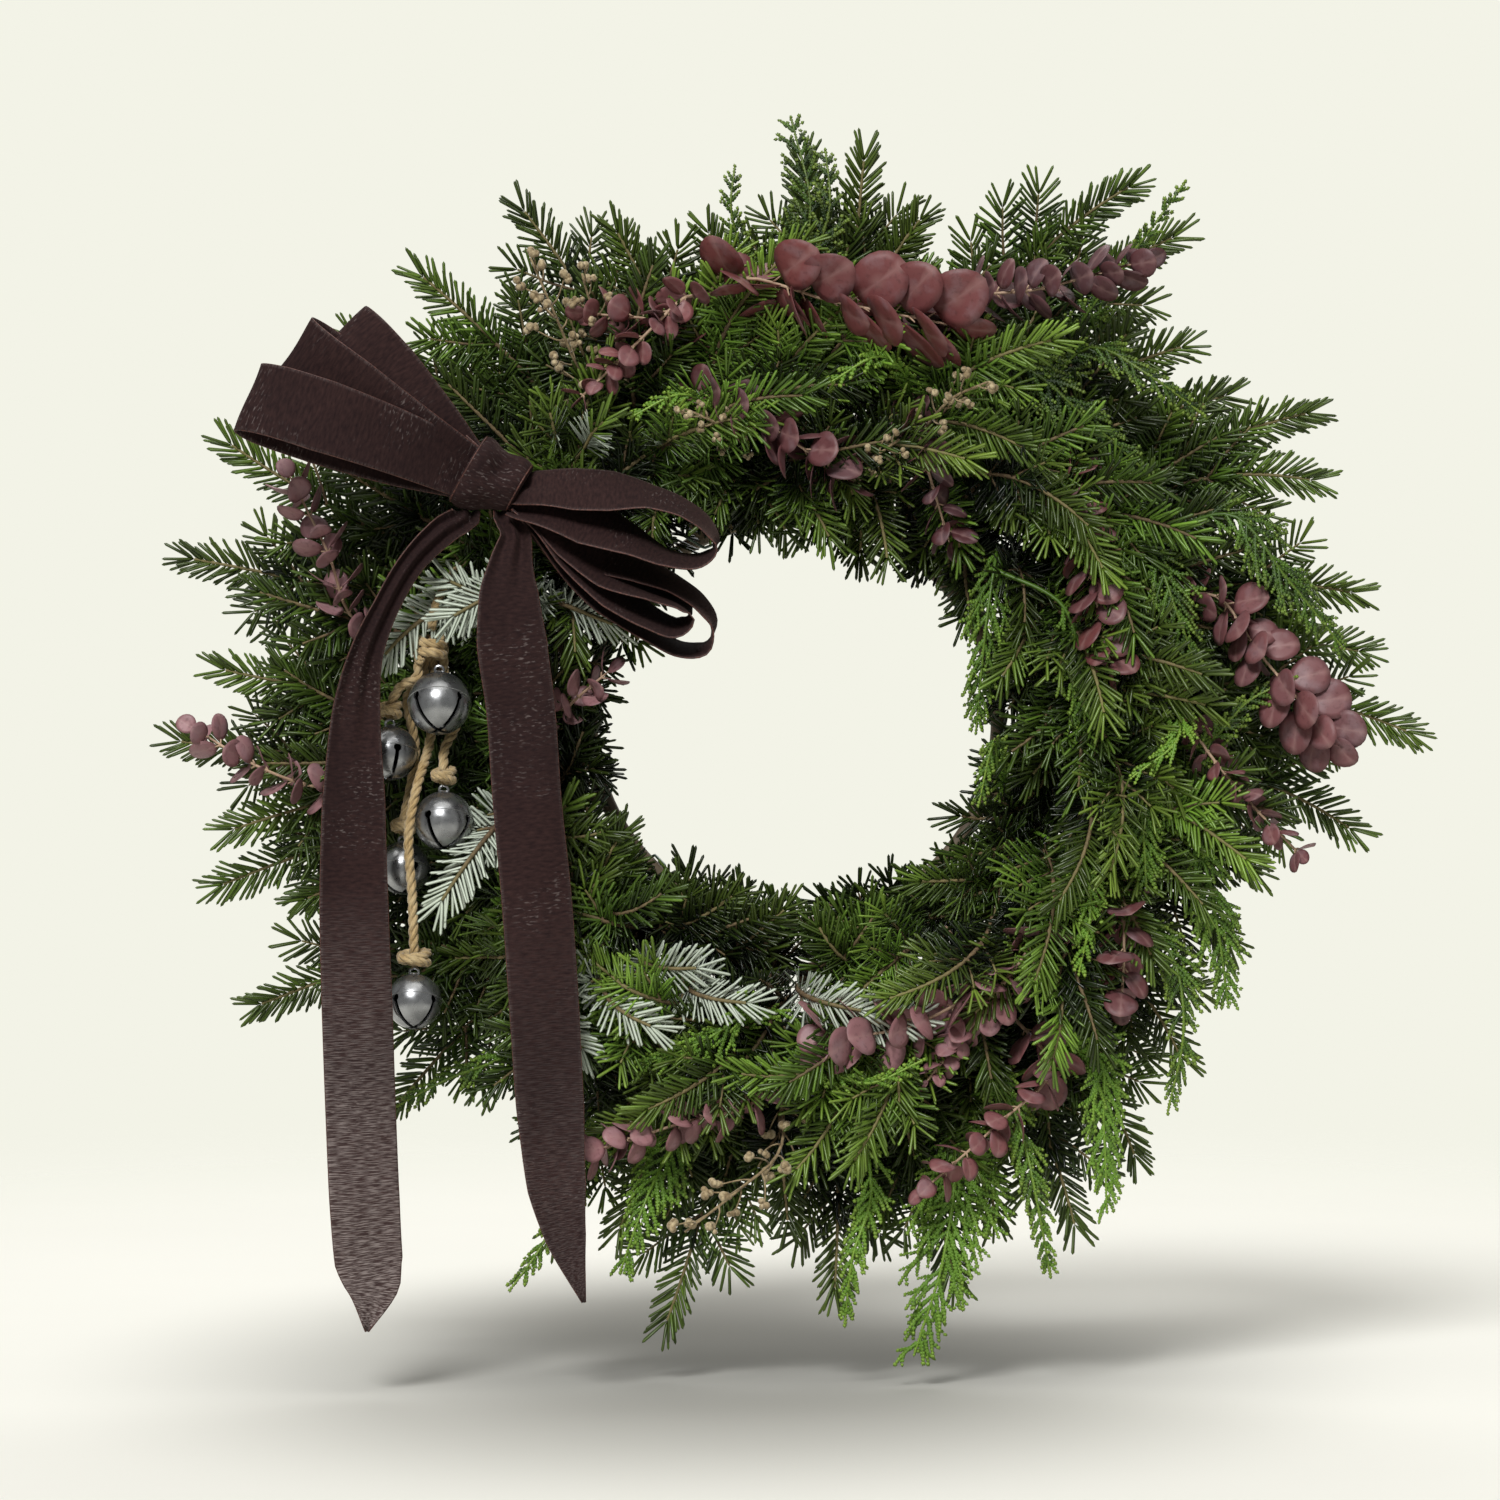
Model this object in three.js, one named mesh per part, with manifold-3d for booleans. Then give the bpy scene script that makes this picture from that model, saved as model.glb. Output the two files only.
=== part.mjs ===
// A fresh evergreen wreath, hung up: fir, cedar and eucalyptus bound on a flat double-ring frame, with
// a velvet ribbon bow and a cluster of jingle bells on jute rope. Millimetres, +Z up, the face towards -Y,
// the wall at y = 0.
// Points of the wreath are written as (x, z, d): x and z from the ring's centre, d forward from the wall.
import * as THREE from 'three';
import { mergeVertices } from 'three/addons/utils/BufferGeometryUtils.js';
import Module from 'manifold-3d';

const wasm = await Module();
wasm.setup();

// ---- driving dimensions ----
const GAP = 0.3; // between neighbours that touch
const CLEAR = 0.35; // between growing pieces

const INNER_RAIL = 110; // radii of the frame's two rails
const OUTER_RAIL = 164;
const RAIL_WIDE = 8;
const RAIL_DEEP = 7.7;
const RAIL_SIDES = 26;
const FRAME_BACK = 2.3;
const FRAME_FRONT = FRAME_BACK + RAIL_DEEP;
const BUNCHES = 13; // bunches of fir round the ring, each over a cross bar
const SECTOR = 360 / BUNCHES;

const CORE_R = 7.2; // bundle of fir stems, corner radius of its hexagon
const BUNDLE_FULL = 0.82; // share of a bundle's length that is full size
const BUNDLE_END = 0.62; // size of its tapered ends
const BUNDLE_SPREAD = 0.36; // share of a sector, each side of its middle, where stems leave a bundle
const CORE_FLAT = CORE_R * Math.cos(Math.PI / 6);
const CORE_RING = (INNER_RAIL + OUTER_RAIL) / 2;
const CORE_D = FRAME_FRONT + GAP + CORE_FLAT;
const CORE_TOP = CORE_D + CORE_FLAT;

const WIRE_R = 0.8; // paddle wire wound round frame and bundles
const WIRE_BACK = FRAME_BACK - GAP - WIRE_R;
const WIRE_FRONT = CORE_TOP + 2.4;

const NEEDLE = 23; // length of a fir needle
const NEEDLE_BASE = 3;
const NEEDLE_LEAN = 42; // degrees from square to the twig, at least
const NEEDLE_CLEAR = 0.7; // radius kept free round a needle
const TWIG_R = 1.5;
const TWIG_BEND = 0.52; // share of a twig's length where it bends out towards its tip

const STEM_R = 1.7; // shown stems of eucalyptus, cedar and dried flowers
const STEM_RISE = 14; // how far a stem runs forward off its bundle
const HIDDEN = 4; // stations of a stem between its foot and its first leaves
const FORK_HIDDEN = 2;
const LEAF_LEAN = 38;
const BRANCHLET_LEAN = 44;

const RIBBON = 38; // velvet ribbon, width and thickness
const GATHERED = 17; // its width where it is gathered into the knot
const VELVET = 0.9;
const KNOT = new THREE.Vector3(-159.5, 127, 116);
const KNOT_SIZE = new THREE.Vector3(45, 36, 34); // x, z, d

const ROPE_R = 2.7; // jute rope
const COIL = { x: -190.5, d: 105, bottom: 28.3, top: 46.3, r: 9.5 };
const BELL_WALL = 1.2;
const LUG = 3; // the eye on top of a bell
const SLOT = 2.2; // width of a bell's slots
const KNOT_TALL = 10; // rope knot above a bell
const CLEAN = 0.02; // edges shorter than this are merged where solids join

// ---- colours ----
const FIR = 0x2f4423;
const CEDAR = 0x5c7a2c;
const MAUVE = 0x7a5654;
const DRIED = 0xa18c6a;
const VELVET_BROWN = 0x33241f;
const JUTE = 0x9c8150;
const SILVER = 0xb9bcbe;
const WOOD = 0x5a4e3e;
const GREEN_WIRE = 0x27402c;

const paint = (color, roughness = 0.8, metalness = 0) =>
  new THREE.MeshStandardMaterial({ color, roughness, metalness });

// ---- places ----
const rad = THREE.MathUtils.degToRad;
const HOOK_DROP = OUTER_RAIL - RAIL_WIDE / 2; // the hook bears under the outer rail, at the origin
const at = (x, z, d) => new THREE.Vector3(x, -d, z);
const polar = (angle, r, d) => at(r * Math.sin(rad(angle)), r * Math.cos(rad(angle)), d);
const mix = (a, b, t) => a.clone().lerp(b, t);
const FRONT = new THREE.Vector3(0, -1, 0);

/** Seeded draw of numbers from 0 to 1. */
function seeded(seed) {
  let state = seed;
  return () => {
    state = (state * 16807) % 2147483647;
    return state / 2147483647;
  };
}

// ---- surfaces ----
class Surface {
  points = [];
  faces = [];

  add(point) {
    this.points.push(point);
    return this.points.length - 1;
  }

  face(...corners) {
    for (let i = 2; i < corners.length; i += 1) this.faces.push([corners[0], corners[i - 1], corners[i]]);
  }

  geometry() {
    const geometry = new THREE.BufferGeometry();
    geometry.setAttribute('position', new THREE.Float32BufferAttribute(
      this.points.flatMap((p) => [p.x, p.y, p.z]), 3));
    geometry.setIndex(this.faces.flat());
    return geometry;
  }
}

/** The closed solid of a geometry, for joining and cutting. */
function solid(geometry) {
  const bare = new THREE.BufferGeometry();
  bare.setAttribute('position', geometry.getAttribute('position').clone());
  bare.setIndex(geometry.getIndex() ? geometry.getIndex().clone() : null);
  const merged = mergeVertices(bare, 1e-4);
  const position = merged.getAttribute('position');
  const index = Array.from(merged.getIndex().array);
  const triangles = [];
  for (let i = 0; i < index.length; i += 3) {
    const [a, b, c] = index.slice(i, i + 3);
    if (a !== b && b !== c && c !== a) triangles.push(a, b, c);
  }
  return new wasm.Manifold(new wasm.Mesh({
    numProp: 3,
    vertProperties: new Float32Array(position.array),
    triVerts: new Uint32Array(triangles),
  }));
}

function geometryOf(manifold) {
  const mesh = manifold.getMesh();
  const geometry = new THREE.BufferGeometry();
  const values = Array.from(mesh.vertProperties);
  geometry.setAttribute('position', new THREE.Float32BufferAttribute(values, 3));
  geometry.setIndex(Array.from(mesh.triVerts));
  return geometry;
}

const joined = (geometries) => geometryOf(geometries.map(solid).reduce((a, b) => a.add(b)).simplify(CLEAN));

/** Which places are taken: every finished piece's triangles, in a grid of cells. */
class Taken {
  cell = 14;
  cells = new Map();

  keys(box) {
    const low = box.min.clone().divideScalar(this.cell).floor();
    const high = box.max.clone().divideScalar(this.cell).floor();
    const keys = [];
    for (let i = low.x; i <= high.x; i += 1) {
      for (let j = low.y; j <= high.y; j += 1) {
        for (let k = low.z; k <= high.z; k += 1) keys.push(`${i},${j},${k}`);
      }
    }
    return keys;
  }

  addTriangle(corners, owner) {
    const entry = { triangle: new THREE.Triangle(...corners), owner };
    for (const key of this.keys(new THREE.Box3().setFromPoints(corners))) {
      if (!this.cells.has(key)) this.cells.set(key, []);
      this.cells.get(key).push(entry);
    }
  }

  add(geometry, owner) {
    const position = geometry.getAttribute('position');
    const index = geometry.getIndex() ? Array.from(geometry.getIndex().array)
      : Array.from({ length: position.count }, (_, i) => i);
    for (let i = 0; i < index.length; i += 3) {
      const corners = [0, 1, 2].map((k) => new THREE.Vector3().fromBufferAttribute(position, index[i + k]));
      this.addTriangle(corners, owner);
    }
  }

  /** Keeps a growing stem's organs off those of its earlier nodes. */
  addFaces(surface, from) {
    surface.faces.slice(from)
      .forEach((face) => this.addTriangle(face.map((id) => surface.points[id]), 'growing'));
  }

  /** Whether a rod from one point to another keeps clear of everything but its own piece's parts. */
  free(from, to, radius, own = null) {
    const reach = radius + CLEAR;
    const steps = Math.max(1, Math.ceil(from.distanceTo(to) / 1.4));
    const nearest = new THREE.Vector3();
    for (let i = 0; i <= steps; i += 1) {
      const p = mix(from, to, i / steps);
      for (const key of this.keys(new THREE.Box3(p.clone().subScalar(reach), p.clone().addScalar(reach)))) {
        for (const { triangle, owner } of this.cells.get(key) ?? []) {
          if (owner === own) continue;
          triangle.closestPointToPoint(p, nearest);
          if (nearest.distanceTo(p) < reach) return false;
        }
      }
    }
    return true;
  }

  clearPath(points, radius, own = null) {
    return points.slice(1).every((p, i) => this.free(points[i], p, radius, own));
  }
}

const taken = new Taken();

// ---- growing pieces ----
/** Stitches rings of corners into one closed skin; `grow` may put an organ on a side instead of a quad. */
function skin(rings, tip = null, grow = () => false, grown = () => {}) {
  const surface = new Surface();
  const ids = rings.map((ring) => ring.map((p) => surface.add(p)));
  const sides = rings[0].length;
  for (let i = 0; i + 1 < rings.length; i += 1) {
    for (let j = 0; j < sides; j += 1) {
      const k = (j + 1) % sides;
      const quad = [ids[i][j], ids[i][k], ids[i + 1][k], ids[i + 1][j]];
      if (!grow(surface, i, j, quad)) surface.face(...quad);
    }
    grown(surface, i);
  }
  surface.face(...ids[0].slice().reverse());
  const last = ids[ids.length - 1];
  if (tip) {
    const apex = surface.add(tip);
    last.forEach((id, j) => surface.face(id, last[(j + 1) % sides], apex));
  } else {
    surface.face(...last);
  }
  return surface.geometry();
}

/** Frames along a path: the point, the way on, and the front and side of its section, without twist. */
function frames(points, facing = FRONT) {
  let front = facing.clone();
  return points.map((p, i) => {
    const before = points[Math.max(i - 1, 0)];
    const after = points[Math.min(i + 1, points.length - 1)];
    const way = after.clone().sub(before).normalize();
    front = front.clone().addScaledVector(way, -front.dot(way));
    if (front.length() < 0.05) front = new THREE.Vector3(0.3, 0.2, 1).cross(way);
    front.normalize();
    return { p, way, front, side: way.clone().cross(front) };
  });
}

/** The frame at a sharp corner of a path, square to the line that halves the corner. */
function cornerFrame(points, i, facing) {
  const p = points[i];
  const near = (q = p) => p.clone().add(q.clone().sub(p).setLength(1));
  return frames([near(points[i - 1]), p, near(points[i + 1])], facing)[1];
}

function ringAt({ p, way, front, side }, radius, sides, shift = 0) {
  return Array.from({ length: sides }, (_, j) => {
    const a = (j + 0.5) * 2 * Math.PI / sides;
    return p.clone().addScaledVector(way, shift)
      .addScaledVector(front, radius * Math.cos(a)).addScaledVector(side, radius * Math.sin(a));
  });
}

/** The way out of side j of a section. */
function outward({ front, side }, j, sides) {
  const a = (j + 1) * 2 * Math.PI / sides;
  return front.clone().multiplyScalar(Math.cos(a)).addScaledVector(side, Math.sin(a));
}

/** A plain closed tube along a path of points. */
function tube(points, radius, sides, facing = FRONT) {
  return skin(frames(points, facing).map((frame) => ringAt(frame, radius, sides)));
}

/** A blade with a rim, grown on a quad: its two faces bulge from the rim to a middle point on each side. */
function blade(surface, [a, b, c, d], rim, front, back) {
  const ids = rim.map((p) => surface.add(p));
  const [f, g] = [surface.add(front), surface.add(back)];
  const [first, last] = [ids[0], ids[ids.length - 1]];
  surface.face(f, d, first);
  surface.face(g, first, a);
  for (let i = 1; i < ids.length; i += 1) {
    surface.face(f, ids[i - 1], ids[i]);
    surface.face(g, ids[i], ids[i - 1]);
  }
  surface.face(f, last, c);
  surface.face(f, c, d);
  surface.face(g, b, last);
  surface.face(g, a, b);
  surface.face(d, a, first);
  surface.face(b, c, last);
  return true;
}

/** A stem with organs at its nodes: `organ(surface, frame, node, side, quad)` grows one and returns true. */
function stem({ points, radii, sides, nodes, base, organ, facing }) {
  const rings = [];
  const nodeOf = new Map();
  const all = frames(points, facing);
  all.forEach((frame, i) => {
    if (!nodes.includes(i)) {
      rings.push(ringAt(frame, radii[i], sides));
      return;
    }
    nodeOf.set(rings.length, i);
    rings.push(ringAt(frame, radii[i], sides, -base / 2));
    rings.push(ringAt(frame, radii[i], sides, base / 2));
  });
  const end = all[all.length - 1];
  const tip = end.p.clone().addScaledVector(end.way, base / 2 + radii[radii.length - 1] * 8);
  let kept = 0;
  return skin(
    rings, tip,
    (surface, i, j, quad) => nodeOf.has(i) && organ(surface, all[nodeOf.get(i)], nodeOf.get(i), j, quad),
    (surface, i) => {
      if (nodeOf.has(i)) taken.addFaces(surface, kept);
      kept = surface.faces.length;
    },
  );
}

const curvePoints = (controls, count) => new THREE.CatmullRomCurve3(controls).getSpacedPoints(count - 1);
const bezierPoints = (a, b, c, count) => new THREE.QuadraticBezierCurve3(a, b, c).getPoints(count - 1);

// ---- the frame and its binding ----
function rail(radius) {
  const half = RAIL_WIDE / 2;
  const section = [
    [-half, FRAME_BACK], [half, FRAME_BACK], [half - 1, FRAME_FRONT], [1 - half, FRAME_FRONT],
    [-half, FRAME_BACK],
  ];
  const profile = section.map(([r, d]) => new THREE.Vector2(radius + r, -d)).reverse();
  return new THREE.LatheGeometry(profile, RAIL_SIDES);
}

function crossBar(angle) {
  const long = OUTER_RAIL - INNER_RAIL - 2;
  const bar = new THREE.BoxGeometry(7, RAIL_DEEP - 1.5, long);
  const middle = polar(angle, CORE_RING, FRAME_FRONT - (RAIL_DEEP - 1.5) / 2);
  bar.applyMatrix4(new THREE.Matrix4().makeRotationY(rad(angle)).setPosition(middle));
  return bar;
}

function wreathFrame() {
  const bars = Array.from({ length: BUNCHES }, (_, i) => crossBar(i * SECTOR));
  return joined([rail(INNER_RAIL), rail(OUTER_RAIL), ...bars]);
}

/** Paddle wire: one turn for each bunch, from the inside of the ring over the bundle and behind the rails. */
function bindingWire() {
  const inside = INNER_RAIL - RAIL_WIDE / 2 - WIRE_R - GAP - 0.4;
  const outside = OUTER_RAIL + RAIL_WIDE / 2 + WIRE_R + GAP + 0.4;
  const turn = [
    [inside, WIRE_BACK], [outside, WIRE_BACK], [outside, CORE_D],
    [CORE_RING + 16, WIRE_FRONT], [CORE_RING - 16, WIRE_FRONT], [inside, CORE_D],
  ];
  const points = [];
  for (let k = 0; k < BUNCHES * turn.length; k += 1) {
    const [r, d] = turn[k % turn.length];
    points.push(polar((k + 1) * SECTOR / turn.length, r, d));
  }
  const rings = points.map((_, k) => {
    const alongRing = polar(90 + (k + 1) * SECTOR / turn.length, 1, 0);
    return ringAt(cornerFrame(points, k, alongRing), WIRE_R, 3);
  });
  return skin(rings);
}

// ---- fir ----
/** The bundle of stems that a bunch is bound by: a tapered hexagon along the ring, over its cross bar. */
function bundle(index) {
  const half = SECTOR / 2 - 0.9;
  const points = [-half, -half * BUNDLE_FULL, half * BUNDLE_FULL, half]
    .map((a) => polar(index * SECTOR + a, CORE_RING, CORE_D));
  const sizes = [BUNDLE_END, 1, 1, BUNDLE_END];
  return skin(frames(points).map((frame, i) => ringAt(frame, sizes[i] * CORE_R, 6)));
}

const middleOf = (surface, ids) =>
  ids.reduce((sum, id) => sum.add(surface.points[id]), new THREE.Vector3()).divideScalar(ids.length);

/** One needle on a triangle of its twig, as long as there is room for, or the bare triangle. */
function needle(surface, corners, way, draw) {
  const root = middleOf(surface, corners);
  for (const share of [1, 0.75, 0.5]) {
    const tip = root.clone().addScaledVector(way, NEEDLE * share * (0.92 + 0.12 * draw()));
    if (taken.free(mix(root, tip, 0.2), tip, NEEDLE_CLEAR)) {
      const apex = surface.add(tip);
      corners.forEach((id, k) => surface.face(id, corners[(k + 1) % 3], apex));
      return;
    }
  }
  surface.face(...corners);
}

/** A whorl of six needles round a three-sided twig, two on each side, that lean towards the tip. */
function needleWhorl(draw) {
  return (surface, frame, node, j, [a, b, c, d]) => {
    const out = outward(frame, j, 3);
    [[a, b, c], [a, c, d]].forEach((corners, half) => {
      const turn = (half === 0 ? 1 : -1) * rad(30) + (draw() - 0.5) * 0.3;
      const lean = rad(NEEDLE_LEAN + 12 * draw());
      const way = out.clone().applyAxisAngle(frame.way, turn).multiplyScalar(Math.cos(lean))
        .addScaledVector(frame.way, Math.sin(lean));
      needle(surface, corners, way, draw);
    });
    return true;
  };
}

/** A fir twig from its bundle to a tip; it is bent forward or back until it is clear, or cut short. */
function firTwig({ from, tip, way, bend, whorls, own, draw }) {
  for (let attempt = 0; attempt < 14; attempt += 1) {
    const swing = Math.ceil(attempt / 2) * (attempt % 2 ? 1 : -1);
    const end = tip.clone().add(new THREE.Vector3(swing * 2.5, -swing * 4, swing * 2));
    const middle = end.clone().addScaledVector(way, -bend).add(new THREE.Vector3(0, -swing * 2, 0));
    const points = bezierPoints(from, middle, end, whorls + 1);
    const beyond = end.clone().sub(points[whorls - 1]).setLength(TWIG_R * 7).add(end);
    if (!taken.clearPath([...points, beyond], TWIG_R * 1.2, own)) continue;
    const radii = points.map((_, i) => TWIG_R * (1.1 - 0.55 * i / points.length));
    const nodes = points.map((_, i) => i).slice(-whorls);
    const geometry = stem({
      points, radii, sides: 3, nodes, base: NEEDLE_BASE, organ: needleWhorl(draw),
    });
    taken.add(geometry, own);
    return geometry;
  }
  return null;
}

// Tips round the outline, as seen from the front: angle from the top, reach from the centre, lean of the
// tip from the radius towards the right-hand turn, and depth.
const OUTER_TIPS = [
  [1, 312, -6, 40], [7, 314, -2, 54], [14, 288, 25, 60], [32, 350, 28, 40], [38, 342, 28, 34], [46, 300, 30, 52],
  [53, 303, 26, 30], [59, 332, 18, 46], [65, 316, 36, 60], [77, 318, 25, 48], [83, 318, 18, 38], [91, 340, 22, 50],
  [101, 316, 24, 40], [108, 270, 20, 56], [117, 274, 30, 40], [131, 286, 24, 48], [142, 309, 18, 38],
  [151, 321, 15, 52], [158, 300, 14, 36], [164, 322, 2, 54], [176, 318, 8, 44], [192, 342, 8, 42],
  [199, 300, 4, 56], [205, 316, -3, 36], [226, 308, -6, 44], [242, 336, 8, 50],
  [254, 332, -6, 40], [259, 318, -8, 56], [268, 342, 10, 44], [275, 318, 8, 58], [285, 346, -5, 46],
  [296, 348, 8, 50], [311, 326, -3, 40], [320, 322, -10, 52], [332, 322, -10, 40], [340, 290, -9, 54],
  [350, 278, -9, 44],
];
// Tips that reach into the wreath's hole.
const INNER_TIPS = [
  [21, 88, 168, 50], [357, 92, 160, 62], [344, 106, -160, 44], [45, 106, 142, 58], [80, 118, 150, 54],
  [112, 116, 130, 50], [143, 99, 140, 44], [168, 98, 128, 58], [196, 95, 124, 46], [215, 98, 124, 60],
  [236, 106, 165, 44], [263, 101, 168, 46], [297, 84, -160, 66],
];
// Tips that fill the wreath's face.
const FACE_REACH = [192, 222];
const FACE_TIPS = Array.from({ length: BUNCHES }, (_, i) => [(i + 0.3) * SECTOR, FACE_REACH[i % 2], 26, 96])
  .filter(([angle]) => angle < 275 || angle > 330); // the bow covers the face there

const TIP_REACH = 15; // how far the last needles reach past the twig's end
const tips = [
  ...OUTER_TIPS.map((tip) => ({ tip, reach: -TIP_REACH, whorls: 3 })),
  ...INNER_TIPS.map((tip) => ({ tip, reach: TIP_REACH, whorls: 2 })),
  ...FACE_TIPS.map((tip) => ({ tip, reach: 0, whorls: 3 })),
];

const twoDigits = (number) => String(number).padStart(2, '0');
const wrap = (angle) => ((angle + 180) % 360 + 360) % 360 - 180;

function firBunch(index) {
  const own = `fir_bunch_${twoDigits(index + 1)}`;
  const draw = seeded(7100 + index * 37);
  const middle = index * SECTOR;
  const limit = BUNDLE_SPREAD * SECTOR;
  const twigs = tips
    .filter(({ tip: [angle] }) => Math.abs(wrap(angle - middle)) < SECTOR / 2)
    .map(({ tip: [angle, radius, lean, depth], reach, whorls }) => {
      const tip = polar(angle, radius + reach, depth);
      const way = polar(angle + lean, 1, 0);
      const root = THREE.MathUtils.clamp(wrap(angle - lean * 0.12 - middle), -limit, limit);
      const from = polar(middle + root, CORE_RING, CORE_D);
      return firTwig({ from, tip, way, bend: tip.distanceTo(from) * TWIG_BEND, whorls, own, draw });
    })
    .filter(Boolean);
  return [own, joined([bundles[index], ...twigs])];
}

// ---- stems of eucalyptus, cedar and dried flowers ----
/** A stem's way from a bundle's front, forward and out to the first shown point, and along the rest. */
function pathFrom(angle, shown, count) {
  const foot = polar(angle, CORE_RING, CORE_TOP + GAP);
  const ahead = polar(angle, CORE_RING, CORE_TOP + GAP + STEM_RISE);
  const rise = mix(ahead, shown[0], 0.55).add(new THREE.Vector3(0, -4, 0));
  const path = curvePoints([foot, ahead, rise, ...shown], count);
  path[0] = foot;
  path[1] = mix(foot, ahead, 0.5);
  return path;
}

/** The first clear path to the shown points, from the nearest places on the bundles, near the shown depth. */
function seatedPath(shown, radius, count) {
  const start = Math.atan2(shown[0].x, shown[0].z) * 180 / Math.PI;
  for (const nudge of [0, 8, -6, 16]) {
    const moved = shown.map((p) => p.clone().add(new THREE.Vector3(0, nudge, 0)));
    for (let attempt = 0; attempt < 40; attempt += 1) {
      const angle = start + Math.ceil(attempt / 2) * (attempt % 2 ? 1.6 : -1.6);
      const offCentre = Math.abs(wrap(angle - Math.round(angle / SECTOR) * SECTOR));
      if (offCentre > SECTOR * BUNDLE_SPREAD) continue;
      const path = pathFrom(angle, moved, count);
      const end = path[count - 1];
      const beyond = end.clone().sub(path[count - 2]).setLength(9).add(end);
      if (taken.clearPath([mix(path[0], path[1], 0.3), ...path.slice(1), beyond], radius)) return path;
    }
  }
  throw new Error(`no clear way to ${shown[0].toArray()}`);
}

/** Round leaves in pairs, each pair turned a quarter from the last; they lean towards the tip. */
function leafPair(sizes, draw) {
  return (surface, frame, node, j, quad) => {
    const cross = node % 2;
    if (j % 2 !== cross) return false;
    const [a, b] = quad;
    const out = outward(frame, j, 4);
    const tilt = rad(LEAF_LEAN + 16 * (draw() - 0.5));
    const along = out.multiplyScalar(Math.cos(tilt)).addScaledVector(frame.way, Math.sin(tilt));
    const flat = surface.points[b].clone().sub(surface.points[a]).normalize();
    const roll = (cross ? 0.75 : 0.15) * (j < 2 ? 1 : -1) + (draw() - 0.5) * 0.5;
    const across = flat.applyAxisAngle(along, roll);
    const face = across.clone().cross(along);
    if (face.dot(frame.way) < 0) face.negate();
    const root = middleOf(surface, quad);
    for (const share of [1, 0.8, 0.6]) {
      const r = sizes(node) * share * (0.9 + 0.2 * draw());
      const centre = root.clone().addScaledVector(along, r * 1.02);
      const rim = [-122, -60, 0, 60, 122].map((deg) => centre.clone()
        .addScaledVector(along, r * Math.cos(rad(deg))).addScaledVector(across, r * Math.sin(rad(deg))));
      const spokes = [...rim, ...rim.slice(1).map((p, i) => mix(p, rim[i], 0.5))];
      if (spokes.every((p) => taken.free(mix(centre, p, 0.1), p, 0.8))) {
        return blade(surface, quad, rim, centre.clone().addScaledVector(face, 0.8),
          centre.clone().addScaledVector(face, -0.8));
      }
    }
    return false;
  };
}

// Shown stems of eucalyptus: points x, z, d along the stem, leaf radius at the foot and at the tip, and
// pairs of leaves. A second line in a piece is a fork of the first.
const EUCALYPTUS = [
  [[[[-44, 206, 76], [-72, 210, 90], [-108, 213, 92]], 12, 8, 4],
    [[[-56, 222, 98], [-80, 200, 102], [-111, 170, 100]], 9, 6, 4]],
  [[[[-30, 230, 104], [20, 218, 110], [75, 207, 110]], 15, 15, 5]],
  [[[[84, 218, 92], [130, 226, 98], [180, 240, 96]], 12, 9, 5]],
  [[[[-50, 172, 96], [-12, 152, 104], [24, 128, 102]], 9, 12, 4]],
  [[[[62, 156, 96], [70, 128, 100], [80, 95, 94]], 9, 8, 4]],
  [[[[146, 134, 90], [152, 90, 96], [165, 28, 98]], 10, 10, 5]],
  [[[[220, 66, 84], [244, 34, 92], [280, -8, 90]], 11, 15, 5],
    [[[212, -8, 76], [236, -40, 82], [263, -68, 80]], 7, 6, 3]],
  [[[[170, -96, 94], [172, -120, 98], [171, -144, 96]], 12, 10, 3]],
  [[[[126, -112, 92], [108, -140, 98], [70, -188, 96]], 12, 5, 4],
    [[[86, -148, 96], [54, -162, 102], [20, -166, 100]], 12, 12, 3]],
  [[[[134, -184, 90], [106, -212, 96], [68, -246, 92]], 11, 7, 4]],
  [[[[-20, -200, 88], [-62, -212, 96], [-110, -228, 92]], 9, 8, 5]],
  [[[[-232, 52, 78], [-246, 88, 84], [-265, 126, 80]], 9, 8, 4]],
  [[[[-248, -36, 76], [-280, -26, 80], [-315, -6, 74]], 9, 8, 4]],
  [[[[-122, 6, 74], [-112, 14, 82], [-100, 24, 84]], 7, 8, 2]],
];

/** The path of a shown stem: from a bundle's front, or from a fork. */
function stemPath(shown, pairs, fork) {
  const controls = shown.map((p) => at(...p));
  if (fork) return curvePoints([fork, ...controls], pairs + FORK_HIDDEN);
  return seatedPath(controls, STEM_R, pairs + HIDDEN);
}

function leafyStem([shown, foot, tip, pairs], draw, fork = null) {
  const points = stemPath(shown, pairs, fork);
  const first = points.length - pairs;
  const sizes = (node) => THREE.MathUtils.lerp(foot, tip, (node - first) / Math.max(1, pairs - 1));
  const geometry = stem({
    points, radii: points.map((_, i) => 1.6 - 0.7 * i / points.length), sides: 4,
    nodes: points.map((_, i) => i).slice(-pairs), base: 1.7, organ: leafPair(sizes, draw),
  });
  return { geometry, fork: points[first - 1] };
}

function eucalyptus(index) {
  const draw = seeded(5200 + index * 53);
  const [main, side] = EUCALYPTUS[index];
  const { geometry, fork } = leafyStem(main, draw);
  return side ? joined([geometry, leafyStem(side, draw, fork).geometry]) : geometry;
}

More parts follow.
